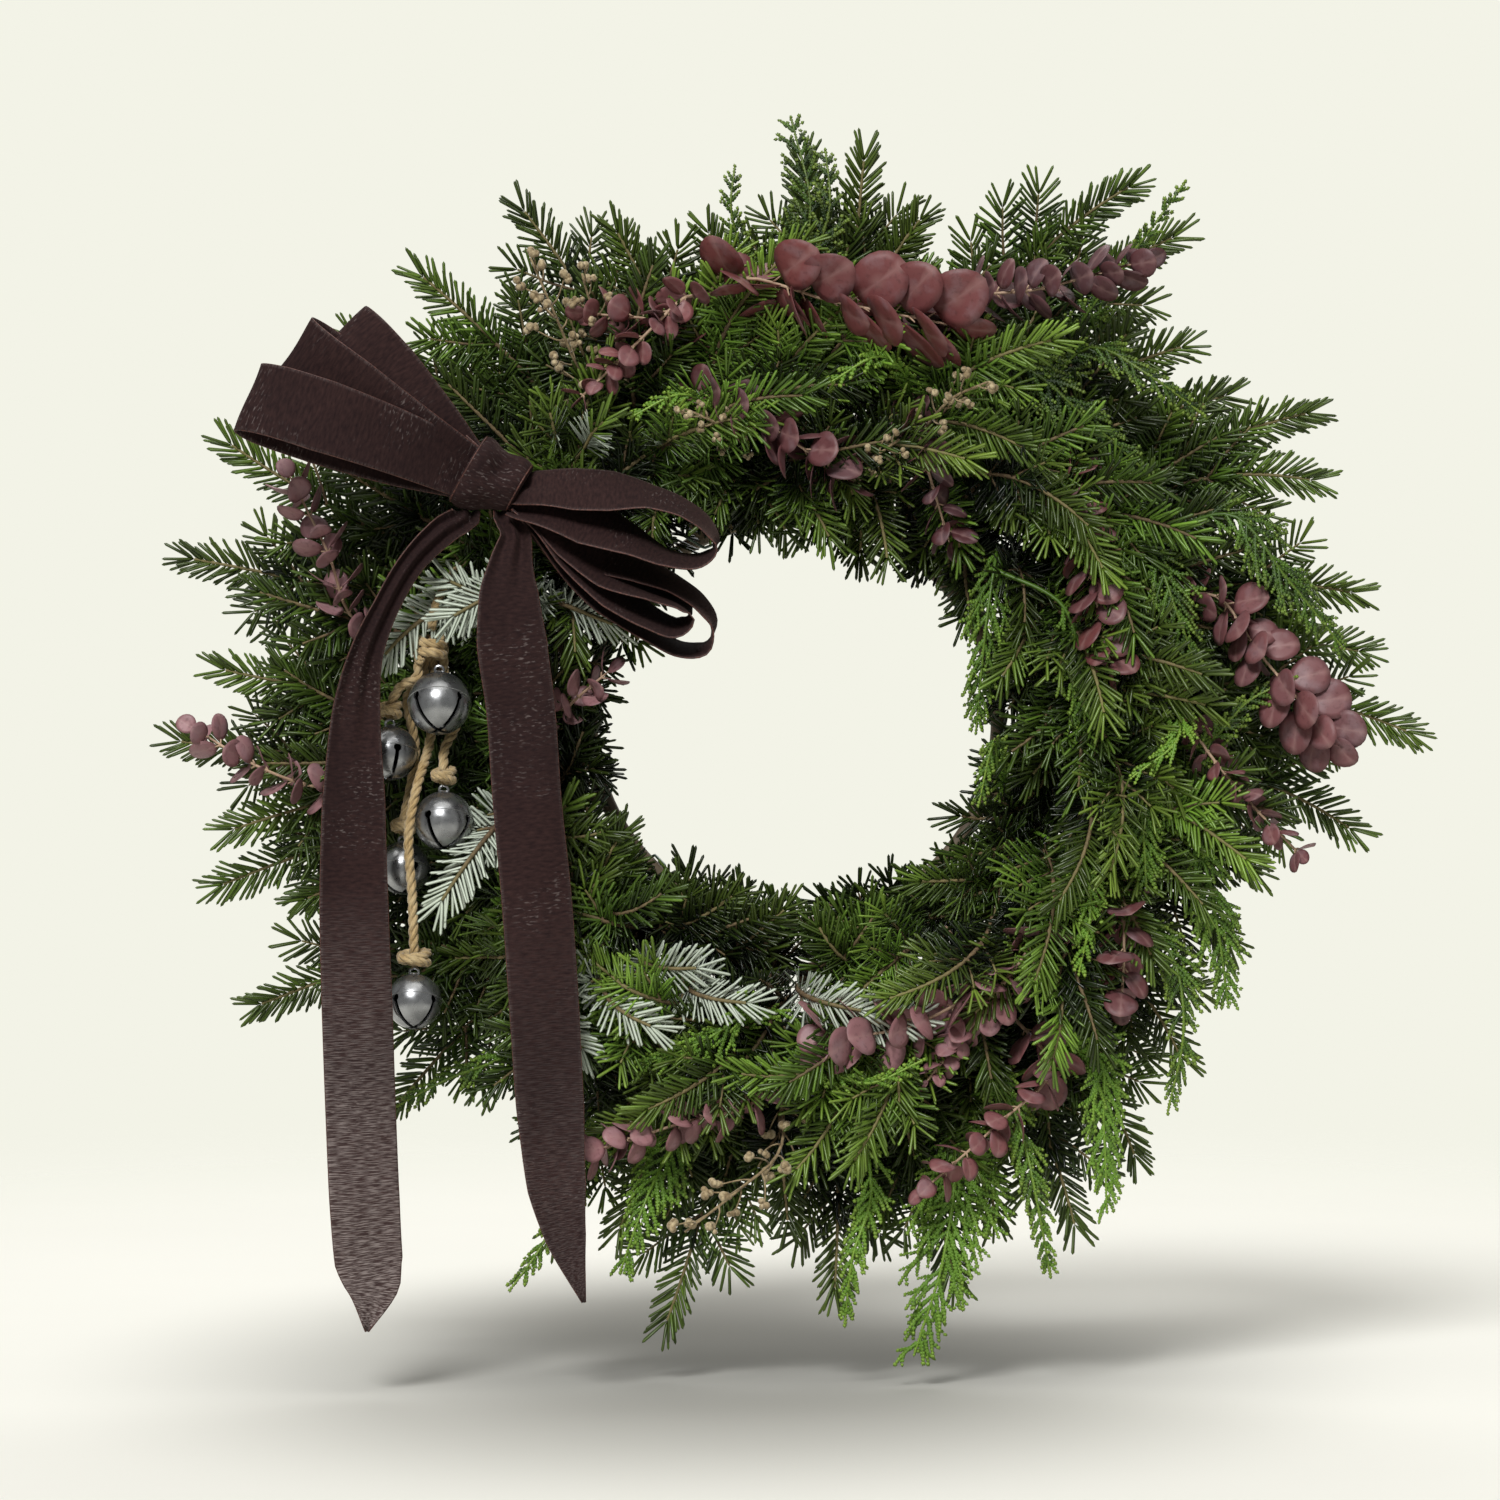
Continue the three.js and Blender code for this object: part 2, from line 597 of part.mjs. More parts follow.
/** Flat branchlets on both sides of a cedar frond, each a toothed blade in the frond's plane. */
function branchlets(sizes, draw) {
  return (surface, frame, node, j, quad) => {
    if (j % 2 === 1) return false;
    const [a, b, c, d] = quad;
    const out = outward(frame, j, 4);
    const tilt = rad(BRANCHLET_LEAN + 8 * (draw() - 0.5));
    const along = out.clone().multiplyScalar(Math.cos(tilt)).addScaledVector(frame.way, Math.sin(tilt));
    const across = along.clone().cross(frame.front).normalize();
    if (across.dot(frame.way) < 0) across.negate();
    const root = middleOf(surface, quad);
    const long = sizes(node);
    const bulge = j === 0 ? 0.7 : -0.7; // the quad's first edge is at the front on one side, at the back on the other
    for (const share of [1, 0.75, 0.5]) {
      const teeth = [[0.55, -0.26], [0.5, -0.1], [1, 0], [0.5, 0.1], [0.55, 0.26]];
      const rim = teeth.map(([u, v]) => root.clone()
        .addScaledVector(along, u * long * share).addScaledVector(across, v * long * share));
      const middle = root.clone().addScaledVector(along, 0.45 * long * share);
      if (rim.every((p) => taken.free(mix(root, p, 0.12), p, 0.7))) {
        return blade(surface, [b, c, d, a], rim, middle.clone().addScaledVector(frame.front, bulge),
          middle.clone().addScaledVector(frame.front, -bulge));
      }
    }
    return false;
  };
}

// Shown cedar fronds: points x, z, d along the frond, length of its branchlets, pairs of branchlets.
const CEDARS = [
  [
    [[[106, 88, 84], [100, 50, 90], [95, -6, 84]], 24, 5],
    [[[140, 60, 92], [150, 26, 92], [152, -16, 88]], 24, 3],
  ],
  [
    [[[186, 88, 88], [200, 56, 94], [213, 18, 92]], 26, 4],
    [[[228, 108, 84], [258, 74, 90], [288, 38, 84]], 26, 3],
  ],
  [
    [[[178, -36, 92], [182, -60, 98], [184, -88, 92]], 24, 3],
    [[[212, -70, 80], [222, -110, 84], [228, -150, 78]], 26, 3],
  ],
  [
    [[[82, -230, 64], [76, -290, 76], [62, -340, 74]], 28, 5],
    [[[158, -176, 84], [162, -214, 86], [164, -258, 80]], 28, 3],
  ],
  [
    [[[-66, -224, 66], [-80, -256, 80], [-92, -290, 82]], 28, 5],
    [[[-20, -150, 96], [-48, -168, 100], [-82, -182, 94]], 24, 3],
  ],
  [
    [[[2, 226, 84], [8, 270, 80], [2, 318, 66]], 30, 5],
    [[[118, 186, 92], [150, 160, 96], [186, 128, 90]], 28, 3],
  ],
];

function frond([shown, long, pairs], draw, fork = null) {
  const points = stemPath(shown, pairs, fork);
  const first = points.length - pairs;
  const sizes = (node) => long * (0.95 - 0.5 * ((node - first) / pairs) ** 1.4);
  const geometry = stem({
    points, radii: points.map((_, i) => 1.5 - 0.7 * i / points.length), sides: 4,
    nodes: points.map((_, i) => i).slice(-pairs), base: 2.6, organ: branchlets(sizes, draw),
  });
  return { geometry, fork: points[first - 1] };
}

function cedarSpray(index) {
  const draw = seeded(9311 + index * 71);
  const [main, side] = CEDARS[index];
  const { geometry, fork } = frond(main, draw);
  return joined([geometry, frond(side, draw, fork).geometry]);
}

// Dried flower sprigs: points x, z, d along the stem and the size of their heads.
const DRIED_SPRIGS = [
  [[[76, 152, 70], [84, 168, 84], [98, 173, 90]], 7],
  [[[-14, -232, 82], [-34, -250, 92], [-58, -268, 92]], 8],
  [[[-124, 186, 64], [-130, 214, 76], [-139, 240, 84]], 8],
];

/** A dry stem with a small many-cornered head at each of its last stations. */
function driedSprig(index) {
  const draw = seeded(3300 + index * 29);
  const [shown, size] = DRIED_SPRIGS[index];
  const points = seatedPath(shown.map((p) => at(...p)), STEM_R, 6);
  const stalk = skin(frames(points).map((frame, i) => ringAt(frame, 1.4 - 0.05 * i, 4)));
  const heads = points.slice(-3).map((p) => {
    const head = new THREE.OctahedronGeometry(size * (0.55 + 0.2 * draw()));
    head.rotateX(draw() * 2);
    head.translate(p.x, p.y, p.z);
    return head;
  });
  return joined([stalk, ...heads.filter((head) => {
    head.computeBoundingSphere();
    const { center, radius } = head.boundingSphere;
    return taken.free(center, center, radius);
  })]);
}

// ---- bow ----
/** A strip of ribbon along points, with a width at each and a way across. */
function strip(points, widths, across) {
  const count = points.length;
  const rings = points.map((p, i) => {
    const way = points[Math.min(i + 1, count - 1)].clone().sub(points[Math.max(i - 1, 0)]).normalize();
    const wide = (Array.isArray(across) ? across[i] : across).clone();
    wide.addScaledVector(way, -wide.dot(way)).normalize();
    const thick = way.clone().cross(wide);
    const [w, t] = [widths[i] / 2, VELVET / 2];
    return [[w, t], [-w, t], [-w, -t], [w, -t]].map(([u, v]) =>
      p.clone().addScaledVector(wide, u).addScaledVector(thick, v));
  });
  return skin(rings);
}

const KNOT_LEFT = KNOT.x - KNOT_SIZE.x / 2;
const KNOT_RIGHT = KNOT.x + KNOT_SIZE.x / 2;
const KNOT_BOTTOM = KNOT.y - KNOT_SIZE.y / 2;

function knot() {
  const steps = [[-0.5, 0.72], [-0.34, 1], [0.34, 1], [0.5, 0.72]];
  const rings = steps.map(([share, size]) => Array.from({ length: 8 }, (_, j) => {
    const a = (j + 0.5) * Math.PI / 4;
    const grow = size / Math.cos(Math.PI / 8) / 2;
    return at(KNOT.x + share * KNOT_SIZE.x, KNOT.y + Math.cos(a) * KNOT_SIZE.y * grow,
      KNOT.z + Math.sin(a) * KNOT_SIZE.z * grow);
  }));
  return skin(rings);
}

/** The gathered ribbon where its loops run into one side of the knot. */
function gather(x0, x1) {
  const rings = [x0, x1].map((x, i) => Array.from({ length: 8 }, (_, j) => {
    const a = (j + 0.5) * Math.PI / 4;
    const size = i === 0 ? 0.62 : 0.5;
    const [up, out] = [Math.cos(a) * size / 2, Math.sin(a) * size / 2];
    return at(x, KNOT.y - 1 + up * KNOT_SIZE.y, KNOT.z + out * KNOT_SIZE.z);
  }));
  return skin(x1 > x0 ? rings : rings.map((ring) => ring.slice().reverse()));
}

// Left loops, seen face on: the end of the loop, how far forward its front band lies, and the loop's depth.
const LEFT_LOOPS = [
  { end: [-285, 166], forward: 16, deep: 20 },
  { end: [-262, 196], forward: 4, deep: 18 },
  { end: [-230, 205], forward: -6, deep: 16 },
];

function leftLoop({ end, forward, deep }) {
  const root = new THREE.Vector2(KNOT_LEFT - 10, KNOT.y);
  const tip = new THREE.Vector2(...end);
  const shares = [0, 0.3, 0.65, 0.9, 1, 0.94, 0.65, 0.3, 0];
  const depths = [0.25, 0.9, 1, 0.8, 0.3, -0.2, -0.35, -0.3, -0.1];
  const points = shares.map((share, i) => {
    const p = root.clone().lerp(tip, share);
    const ahead = share ? forward + (depths[i] - 1 / 3) * deep : depths[i] * deep / 4;
    return at(p.x, p.y, KNOT.z + ahead);
  });
  const way = tip.clone().sub(root).normalize();
  const across = new THREE.Vector3(-way.y, 0, way.x);
  const widths = shares.map((share) => THREE.MathUtils.lerp(GATHERED, RIBBON, Math.min(1, share * 1.7)));
  return strip(points, widths, across);
}

// Right loops, seen partly edge on: the loop's outline in x, z and its depth ahead of the knot's middle.
const RIGHT_LOOPS = [
  {
    ahead: 8,
    outline: [
      [-133, 130], [-108, 127], [-74, 119], [-50, 108], [-41, 95], [-47, 84], [-64, 84], [-92, 96], [-133, 121],
    ],
  },
  {
    ahead: 2,
    outline: [
      [-133, 124], [-104, 103], [-80, 85], [-62, 70], [-54, 58], [-60, 50], [-76, 58], [-100, 82], [-133, 116],
    ],
  },
  {
    ahead: -9,
    outline: [
      [-133, 120], [-104, 92], [-76, 74], [-54, 63], [-44, 49], [-48, 37], [-62, 38], [-88, 62], [-133, 112],
    ],
  },
];

function rightLoop({ ahead, outline }) {
  const ends = [0, outline.length - 1];
  const points = outline.map(([x, z], i) => at(x, z, KNOT.z + (ends.includes(i) ? ahead / 4 : ahead)));
  const across = new THREE.Vector3(0, -0.86, -0.5);
  const widths = outline.map(([x]) =>
    THREE.MathUtils.lerp(15, RIBBON * 0.92, Math.min(1, (x - KNOT_RIGHT) / 45)));
  return strip(points, widths, across);
}

const GATHER = 14; // length of the gathers beside the knot
const bowLeft = () => joined([gather(KNOT_LEFT - GAP, KNOT_LEFT - GATHER), ...LEFT_LOOPS.map(leftLoop)]);
const bowRight = () => joined([gather(KNOT_RIGHT + GAP, KNOT_RIGHT + GATHER), ...RIGHT_LOOPS.map(rightLoop)]);

// Tails: points x, z, d down the middle, and the width of ribbon that shows there.
const LEFT_TAIL = [
  [-172, KNOT_BOTTOM - GAP, 116, 15], [-172, KNOT_BOTTOM - 4, 117, 15], [-184, 98, 121, 17],
  [-203, 82, 125, 16], [-219, 58, 128, 20], [-231, 34, 129, 30], [-236, 6, 129, 35],
  [-235, -42, 128, 37], [-234.5, -95, 127, 37], [-230.5, -148, 124, 38],
  [-227.5, -201, 120, 38], [-225, -250, 117, 36], [-222.5, -288, 115, 33], [-222.5, -318, 114, 2],
];
const RIGHT_TAIL = [
  [-150, KNOT_BOTTOM - GAP, 116, 15], [-150, KNOT_BOTTOM - 4, 117, 15], [-147, 96, 121, 20],
  [-146, 78, 125, 31], [-146, 62, 127, 36], [-144, 10, 128, 37], [-141, -42, 128, 37],
  [-138, -95, 126, 37], [-135, -148, 122, 38], [-131, -201, 118, 36],
  [-127, -244, 116, 31], [-121, -272, 114, 22], [-110, -305, 112, 2],
];

function tail(stations) {
  const points = stations.map(([x, z, d]) => at(x, z, d));
  return strip(points, stations.map((station) => station[3]), new THREE.Vector3(1, 0.12, 0));
}

/** The floral wire that holds the knot to the frame's outer rail. */
function bowTie() {
  const angle = -51;
  const points = [
    at(KNOT.x + 4, KNOT.y, KNOT.z - KNOT_SIZE.z / 2 - GAP), at(KNOT.x + 6, KNOT.y - 2, 84),
    polar(angle - 1, 184, 44), polar(angle, OUTER_RAIL, 24), polar(angle, OUTER_RAIL, FRAME_FRONT + GAP),
  ];
  return tube(points, 0.9, 5, new THREE.Vector3(0, 0, 1));
}

// ---- bells on jute rope ----
// Bells: centre x, z, d and outer radius, and how much they tip towards the front.
const BELLS = [
  { x: -186, z: 8.5, d: 110, r: 16.5, tip: 20, turn: 45, knot: 7 },
  { x: -212.5, z: -17.5, d: 98, r: 14.5, tip: 10, turn: 20, knot: 7 },
  { x: -184, z: -53, d: 104, r: 15.5, tip: 16, turn: 60, knot: 7.2 },
  { x: -206, z: -78, d: 90, r: 14, tip: 8, turn: 30, knot: 7 },
  { x: -199, z: -147, d: 112, r: 14.5, tip: 6, turn: 50, knot: 9.5 },
];
function bell({ x, z, d, r, tip, turn }) {
  const place = at(x, z, d);
  const outer = solid(new THREE.SphereGeometry(r, 10, 6));
  const inner = solid(new THREE.SphereGeometry(r - BELL_WALL, 8, 5));
  const slot = (angle) => {
    const box = new THREE.BoxGeometry(SLOT, r * 0.95, 2 * r + 2);
    box.translate(0, -r * 0.95 / 2 - r * 0.08, 0);
    box.rotateY(angle);
    return solid(box);
  };
  const shell = geometryOf(outer.subtract(inner).subtract(slot(0)).subtract(slot(Math.PI / 2)));
  shell.rotateX(Math.PI / 2);
  shell.rotateZ(rad(turn));
  shell.rotateX(rad(tip));
  const lug = new THREE.CylinderGeometry(2, 2.4, LUG + 2, 5);
  lug.rotateX(Math.PI / 2);
  lug.translate(0, 0, r + LUG / 2 - 1.6);
  const whole = joined([shell, lug]);
  whole.translate(place.x, place.y, place.z);
  return whole;
}

/** The loose steel ball inside a bell, lying on the bottom of its shell. */
function pellet({ x, z, d, r }) {
  const size = r * 0.28;
  const ball = new THREE.SphereGeometry(size, 6, 4);
  const place = at(x + 0.8, z - (r - BELL_WALL - size - GAP - 0.5), d);
  ball.translate(place.x, place.y, place.z);
  return ball;
}

/** A rope along points, as a tube of eight sides. */
function rope(points, radius = ROPE_R) {
  const path = new THREE.CatmullRomCurve3(points);
  const steps = Math.max(3, Math.round(path.getLength() / (radius * 5)));
  const section = new THREE.Shape(Array.from({ length: 8 }, (_, j) =>
    new THREE.Vector2(radius * Math.cos(j * Math.PI / 4), radius * Math.sin(j * Math.PI / 4))));
  const options = { steps, extrudePath: path, bevelEnabled: false, curveSegments: 1 };
  return new THREE.ExtrudeGeometry(section, options);
}

/** The knot in a rope just above a bell's eye. */
function ropeKnot({ x, z, d, r, knot: wide }) {
  const lump = new THREE.SphereGeometry(1, 7, 4);
  lump.rotateX(Math.PI / 2);
  lump.scale(wide, wide, KNOT_TALL / 2);
  const place = at(x, z + r + LUG + GAP + KNOT_TALL / 2, d);
  lump.translate(place.x, place.y, place.z);
  return lump;
}
const knotTop = ({ x, z, d, r }) => at(x, z + r + LUG + GAP + KNOT_TALL * 0.7, d);

// Each strand leaves the underside of the coil and runs down to its bell's knot.
const UNDER_COIL = COIL.bottom - 2 * GAP;
const DROP = UNDER_COIL - 5; // the strands leave the coil straight down
const STRANDS = {
  2: [[-197.2, UNDER_COIL, 105], [-197.6, DROP, 105], [-207, 17, 101]],
  3: [[-184.2, UNDER_COIL, 100], [-183.8, DROP, 98], [-178, 14, 90], [-178, -2, 88], [-184, -16, 98]],
  4: [[-194.4, UNDER_COIL, 99.4], [-194.8, DROP, 98.6], [-204, 12, 88], [-200, -15, 81], [-203, -38, 83]],
  5: [[-189.3, UNDER_COIL, 98.2], [-189.4, DROP, 97.4], [-190, 10, 86], [-192, -12, 90], [-198, -36, 108],
    [-202, -60, 111], [-200, -92, 112]],
};

function strand(number) {
  const own = BELLS[number - 1];
  const points = STRANDS[number].map((p) => at(...p));
  return joined([rope([...points, knotTop(own)]), ropeKnot(own)]);
}

/** The rope wound round the heads of the strands, as one solid of its outer shape. */
function coil() {
  const { x, d, bottom, top, r } = COIL;
  const profile = [[0, bottom], [r - 1, bottom], [r, (bottom + top) / 2], [r - 1, top], [0, top]];
  const body = new THREE.LatheGeometry(profile.map(([u, v]) => new THREE.Vector2(u, v)), 10);
  body.rotateX(Math.PI / 2);
  body.translate(x, -d, 0);
  return body;
}

// The rope goes up from the coil, behind the left tail, and back to a bundle of the wreath.
const HANGER = [
  [-190, COIL.top + 2 * GAP, 105], [-190, COIL.top + 5, 105], [-187, 62, 103], [-178, 78, 92], [-152, 86, 62],
];
const HANGER_SEAT = -55.4;

const hanger = () => rope([
  ...HANGER.map((p) => at(...p)),
  polar(HANGER_SEAT, CORE_RING, CORE_TOP + 12),
  polar(HANGER_SEAT, CORE_RING, CORE_TOP + 2 * GAP),
]);

// ---- the whole wreath ----
const wreath = new THREE.Group();
wreath.position.set(0, 0, -HOOK_DROP);

function place(name, geometry, material) {
  const mesh = new THREE.Mesh(geometry, material);
  mesh.name = name;
  wreath.add(mesh);
  taken.add(geometry, name);
}

place('wreath_frame', wreathFrame(), paint(WOOD));
const bundles = Array.from({ length: BUNCHES }, (_, i) => bundle(i));
bundles.forEach((geometry, i) => taken.add(geometry, `fir_bunch_${twoDigits(i + 1)}`));
place('binding_wire', bindingWire(), paint(GREEN_WIRE, 0.5));

place('bow_knot', knot(), paint(VELVET_BROWN));
place('bow_loops_left', bowLeft(), paint(VELVET_BROWN));
place('bow_loops_right', bowRight(), paint(VELVET_BROWN));
place('bow_tail_left', tail(LEFT_TAIL), paint(VELVET_BROWN));
place('bow_tail_right', tail(RIGHT_TAIL), paint(VELVET_BROWN));
place('bow_tie_wire', bowTie(), paint(GREEN_WIRE, 0.5));

BELLS.forEach((spec, i) => place(`bell_${i + 1}`, bell(spec), paint(SILVER, 0.35, 1)));
BELLS.forEach((spec, i) => place(`bell_pellet_${i + 1}`, pellet(spec), paint(SILVER, 0.3, 1)));
place('rope_coil', coil(), paint(JUTE));
[2, 3, 4, 5].forEach((number) => place(`rope_strand_${number}`, strand(number), paint(JUTE)));
place('rope_hanger', hanger(), paint(JUTE));

EUCALYPTUS.forEach((_, i) => place(`eucalyptus_${twoDigits(i + 1)}`, eucalyptus(i), paint(MAUVE)));
DRIED_SPRIGS.forEach((_, i) => place(`dried_sprig_${i + 1}`, driedSprig(i), paint(DRIED)));
CEDARS.forEach((_, i) => place(`cedar_spray_${i + 1}`, cedarSpray(i), paint(CEDAR)));
for (let i = 0; i < BUNCHES; i += 1) {
  const [name, geometry] = firBunch(i);
  place(name, geometry, paint(FIR));
}

export default wreath;
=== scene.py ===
import math
import random

import bmesh
import bpy
import numpy as np
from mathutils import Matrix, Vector


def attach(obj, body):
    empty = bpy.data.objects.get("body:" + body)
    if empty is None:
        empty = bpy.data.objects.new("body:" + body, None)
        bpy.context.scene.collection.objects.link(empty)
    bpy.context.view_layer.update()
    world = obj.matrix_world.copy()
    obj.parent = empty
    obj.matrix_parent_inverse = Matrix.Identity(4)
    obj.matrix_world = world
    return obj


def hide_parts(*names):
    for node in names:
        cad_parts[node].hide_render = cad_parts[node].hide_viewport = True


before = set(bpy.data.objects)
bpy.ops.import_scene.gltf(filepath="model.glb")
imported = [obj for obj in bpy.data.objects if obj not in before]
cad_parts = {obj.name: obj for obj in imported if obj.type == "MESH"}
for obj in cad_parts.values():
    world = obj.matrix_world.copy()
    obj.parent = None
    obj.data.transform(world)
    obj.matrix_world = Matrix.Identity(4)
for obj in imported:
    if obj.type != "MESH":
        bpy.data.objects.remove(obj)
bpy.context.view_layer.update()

# A hung evergreen wreath with a velvet bow and a cluster of jingle bells on jute rope. Places are written in
# millimetres as (x, z, d): x and z from the ring's centre, d forward from the wall.
MM = 0.001
HOOK_DROP = 160
FRONT = Vector((0, -1, 0))

# ---- sizes, in millimetres ----
INNER_RAIL, OUTER_RAIL = 110, 164
RAIL_WIDE, RAIL_DEEP, FRAME_BACK = 8, 7.7, 2.3
FRAME_FRONT = FRAME_BACK + RAIL_DEEP
BUNCHES = 13
SECTOR = 360 / BUNCHES
CORE_RING = 137
CORE_R = 7.2
CORE_D = FRAME_FRONT + 0.3 + CORE_R * 0.866
CORE_TOP = CORE_D + CORE_R * 0.866
WIRE_R = 0.8
WIRE_BACK = FRAME_BACK - 0.3 - WIRE_R
NEEDLE = 18
RIBBON = 38
VELVET = 0.9
KNOT = Vector((-159.5, 127, 116))  # x, z, d
KNOT_SIZE = Vector((45, 36, 34))
ROPE_R = 2.7
COIL = {"x": -190.5, "d": 105, "bottom": 28.3, "top": 46.3, "r": 9.5}
PLY_STEP = 0.9
FOOT_REACH = 0.36 * SECTOR  # how far from a bunch's middle something may start on it
# The view: its width and middle at the depth of the wreath's face, and the camera's distance from there.
PICTURE, VIEW_X, VIEW_Z, FACE_DEPTH, CAMERA_FAR = 795, -23.9, -15.9, 60, 3200
FLOOR_Z, FLOOR_WIDE, FLOOR_DEEP = -352, 1400, 2500


# ---- places and curves ----
def at(x, z, d):
    return Vector((x, -d, z - HOOK_DROP))


def polar(angle, r, d):
    return at(r * math.sin(math.radians(angle)), r * math.cos(math.radians(angle)), d)


def wrap(angle):
    return (angle + 180) % 360 - 180


def even(points, count):
    """count points an even distance apart along a line of points."""
    line = np.array([tuple(p) for p in points])
    run = np.concatenate([[0], np.cumsum(np.linalg.norm(np.diff(line, axis=0), axis=1))])
    marks = np.linspace(0, run[-1], count)
    return [Vector(p) for p in np.stack([np.interp(marks, run, line[:, k]) for k in range(3)], 1)]


def length_of(points):
    return sum((b - a).length for a, b in zip(points, points[1:]))


def smooth(points, count):
    """Even points along the smooth curve through the given ones."""
    p = [2 * points[0] - points[1], *points, 2 * points[-1] - points[-2]]
    line = []
    for a, b, c, d in zip(p, p[1:], p[2:], p[3:]):
        t1, t2, t3 = (max((v - u).length, 1e-4) ** 0.5 for u, v in ((a, b), (b, c), (c, d)))
        m1 = ((b - a) / t1 - (c - a) / (t1 + t2) + (c - b) / t2) * t2
        m2 = ((c - b) / t2 - (d - b) / (t2 + t3) + (d - c) / t3) * t2
        for k in range(16):
            t = k / 16
            line.append(b * (2 * t**3 - 3 * t**2 + 1) + m1 * (t**3 - 2 * t**2 + t)
                        + c * (3 * t**2 - 2 * t**3) + m2 * (t**3 - t**2))
    return even([*line, points[-1]], count)


def bezier(a, b, c, count):
    return even([(a * (1 - t) + b * t) * (1 - t) + (b * (1 - t) + c * t) * t
                 for t in np.linspace(0, 1, 20)], count)


def frames(points, facing=FRONT):
    """The way on, the front and the side at each point of a path, without twist."""
    made, front = [], facing.copy()
    for i, p in enumerate(points):
        way = (points[min(i + 1, len(points) - 1)] - points[max(i - 1, 0)]).normalized()
        front = front - way * front.dot(way)
        if front.length < 0.05:
            front = Vector((0.3, 0.2, 1)).cross(way)
        front = front.normalized()
        made.append((p, way, front, way.cross(front)))
    return made


# ---- meshes and pieces ----
def bands(rows, around, first=0, closed=False, flip=False):
    """Faces between rows of corners that each close on themselves."""
    faces = []
    for i in range(rows if closed else rows - 1):
        here, ahead = first + i * around, first + (i + 1) % rows * around
        for j in range(around):
            k = (j + 1) % around
            faces.append([here + j, ahead + j, ahead + k, here + k] if flip
                         else [here + j, here + k, ahead + k, ahead + j])
    return faces


class Shape:
    """Corners in millimetres and faces, with a material number for each face and numbers kept at corners."""

    def __init__(self):
        self.corners, self.faces, self.finish, self.marks = [], [], [], {}

    def add(self, corners, faces, finish=0, **marks):
        first = len(self.corners)
        self.corners += [tuple(c) for c in corners]
        self.faces += [[first + i for i in face] for face in faces]
        self.finish += [finish] * len(faces)
        for name, value in marks.items():
            values = value if hasattr(value, "__len__") else [value] * len(corners)
            self.marks.setdefault(name, []).extend(values)

    def tube(self, points, radii, sides=8, facing=FRONT, finish=0, closed=False, **marks):
        """A tube, capped or closed on itself. A mark is one number, or one for each point or each corner."""
        n = len(points)
        radii = radii if hasattr(radii, "__len__") else [radii] * n
        ring = []
        for (p, _, front, side), radius in zip(frames(points, facing), radii):
            for j in range(sides):
                a = 2 * math.pi * j / sides
                ring.append(p + front * (radius * math.cos(a)) + side * (radius * math.sin(a)))
        faces = bands(n, sides, closed=closed)
        if not closed:
            faces += [list(range(sides))[::-1], [(n - 1) * sides + j for j in range(sides)]]
        for name, value in marks.items():
            if hasattr(value, "__len__") and len(value) == n:
                marks[name] = np.repeat(value, sides)
        self.add(ring, faces, finish, **marks)

    def mesh(self, name, materials):
        mesh = bpy.data.meshes.new(name)
        mesh.from_pydata([tuple(MM * v for v in c) for c in self.corners], [], self.faces)
        for material in materials:
            mesh.materials.append(material)
        mesh.polygons.foreach_set("material_index", self.finish)
        for mark, values in self.marks.items():
            mesh.attributes.new(mark, "FLOAT", "POINT").data.foreach_set("value", values)
        mesh.validate()
        mesh.shade_smooth()
        return mesh

    def piece(self, name, materials, slot, *nodes):
        return piece(name, self.mesh(name, materials), slot, *nodes)


def outward(mesh):
    """Turns a closed mesh's faces outwards."""
    body = bmesh.new()
    body.from_mesh(mesh)
    bmesh.ops.recalc_face_normals(body, faces=body.faces)
    body.to_mesh(mesh)
    body.free()
    return mesh


def placed(name, data):
    thing = bpy.data.objects.new(name, data)
    bpy.context.scene.collection.objects.link(thing)
    return thing


def piece(name, mesh, slot, *nodes):
    thing = placed(name, mesh)
    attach(thing, "root")
    if nodes:
        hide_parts(*nodes)
    return thing


def settle(thing):
    """Leaves a thing's modified mesh as its plain mesh."""
    bpy.context.view_layer.update()
    graph = bpy.context.evaluated_depsgraph_get()
    mesh = bpy.data.meshes.new_from_object(
        thing.evaluated_get(graph), preserve_all_data_layers=True, depsgraph=graph)
    thing.modifiers.clear()
    thing.data = mesh
    return thing


# ---- node trees ----
def node(tree, kind, inputs=None, out=0, **settings):
    """One node with its settings and inputs; returns the output socket asked for."""
    made = tree.nodes.new(kind)
    for key, value in settings.items():
        setattr(made, key, value)
    for key, value in (inputs or {}).items():
        if isinstance(value, bpy.types.NodeSocket):
            tree.links.new(value, made.inputs[key])
        else:
            made.inputs[key].default_value = value
    return made.outputs[out] if out is not None else made


def maths(tree, operation, *values):
    return node(tree, "ShaderNodeMath", dict(enumerate(values)), operation=operation)


def vectors(tree, operation, *values, scale=None):
    inputs = dict(enumerate(values))
    if scale is not None:
        inputs["Scale"] = scale
    out = 1 if operation == "LENGTH" else 0
    return node(tree, "ShaderNodeVectorMath", inputs, out=out, operation=operation)


def linear(code):
    """A colour for sockets from its usual six-figure code."""
    parts = [(code >> shift & 255) / 255 for shift in (16, 8, 0)]
    return (*(v / 12.92 if v < 0.04045 else ((v + 0.055) / 1.055) ** 2.4 for v in parts), 1)


def blend(tree, share, a, b):
    a, b = (linear(colour) if isinstance(colour, int) else colour for colour in (a, b))
    return node(tree, "ShaderNodeMix", {0: share, 6: a, 7: b}, out=2, data_type="RGBA")


def mark(tree, name, most=None):
    """A number kept on the mesh, times most where that is given."""
    value = node(tree, "ShaderNodeAttribute", out=2, attribute_name=name)
    return maths(tree, "MULTIPLY", value, most) if most else value


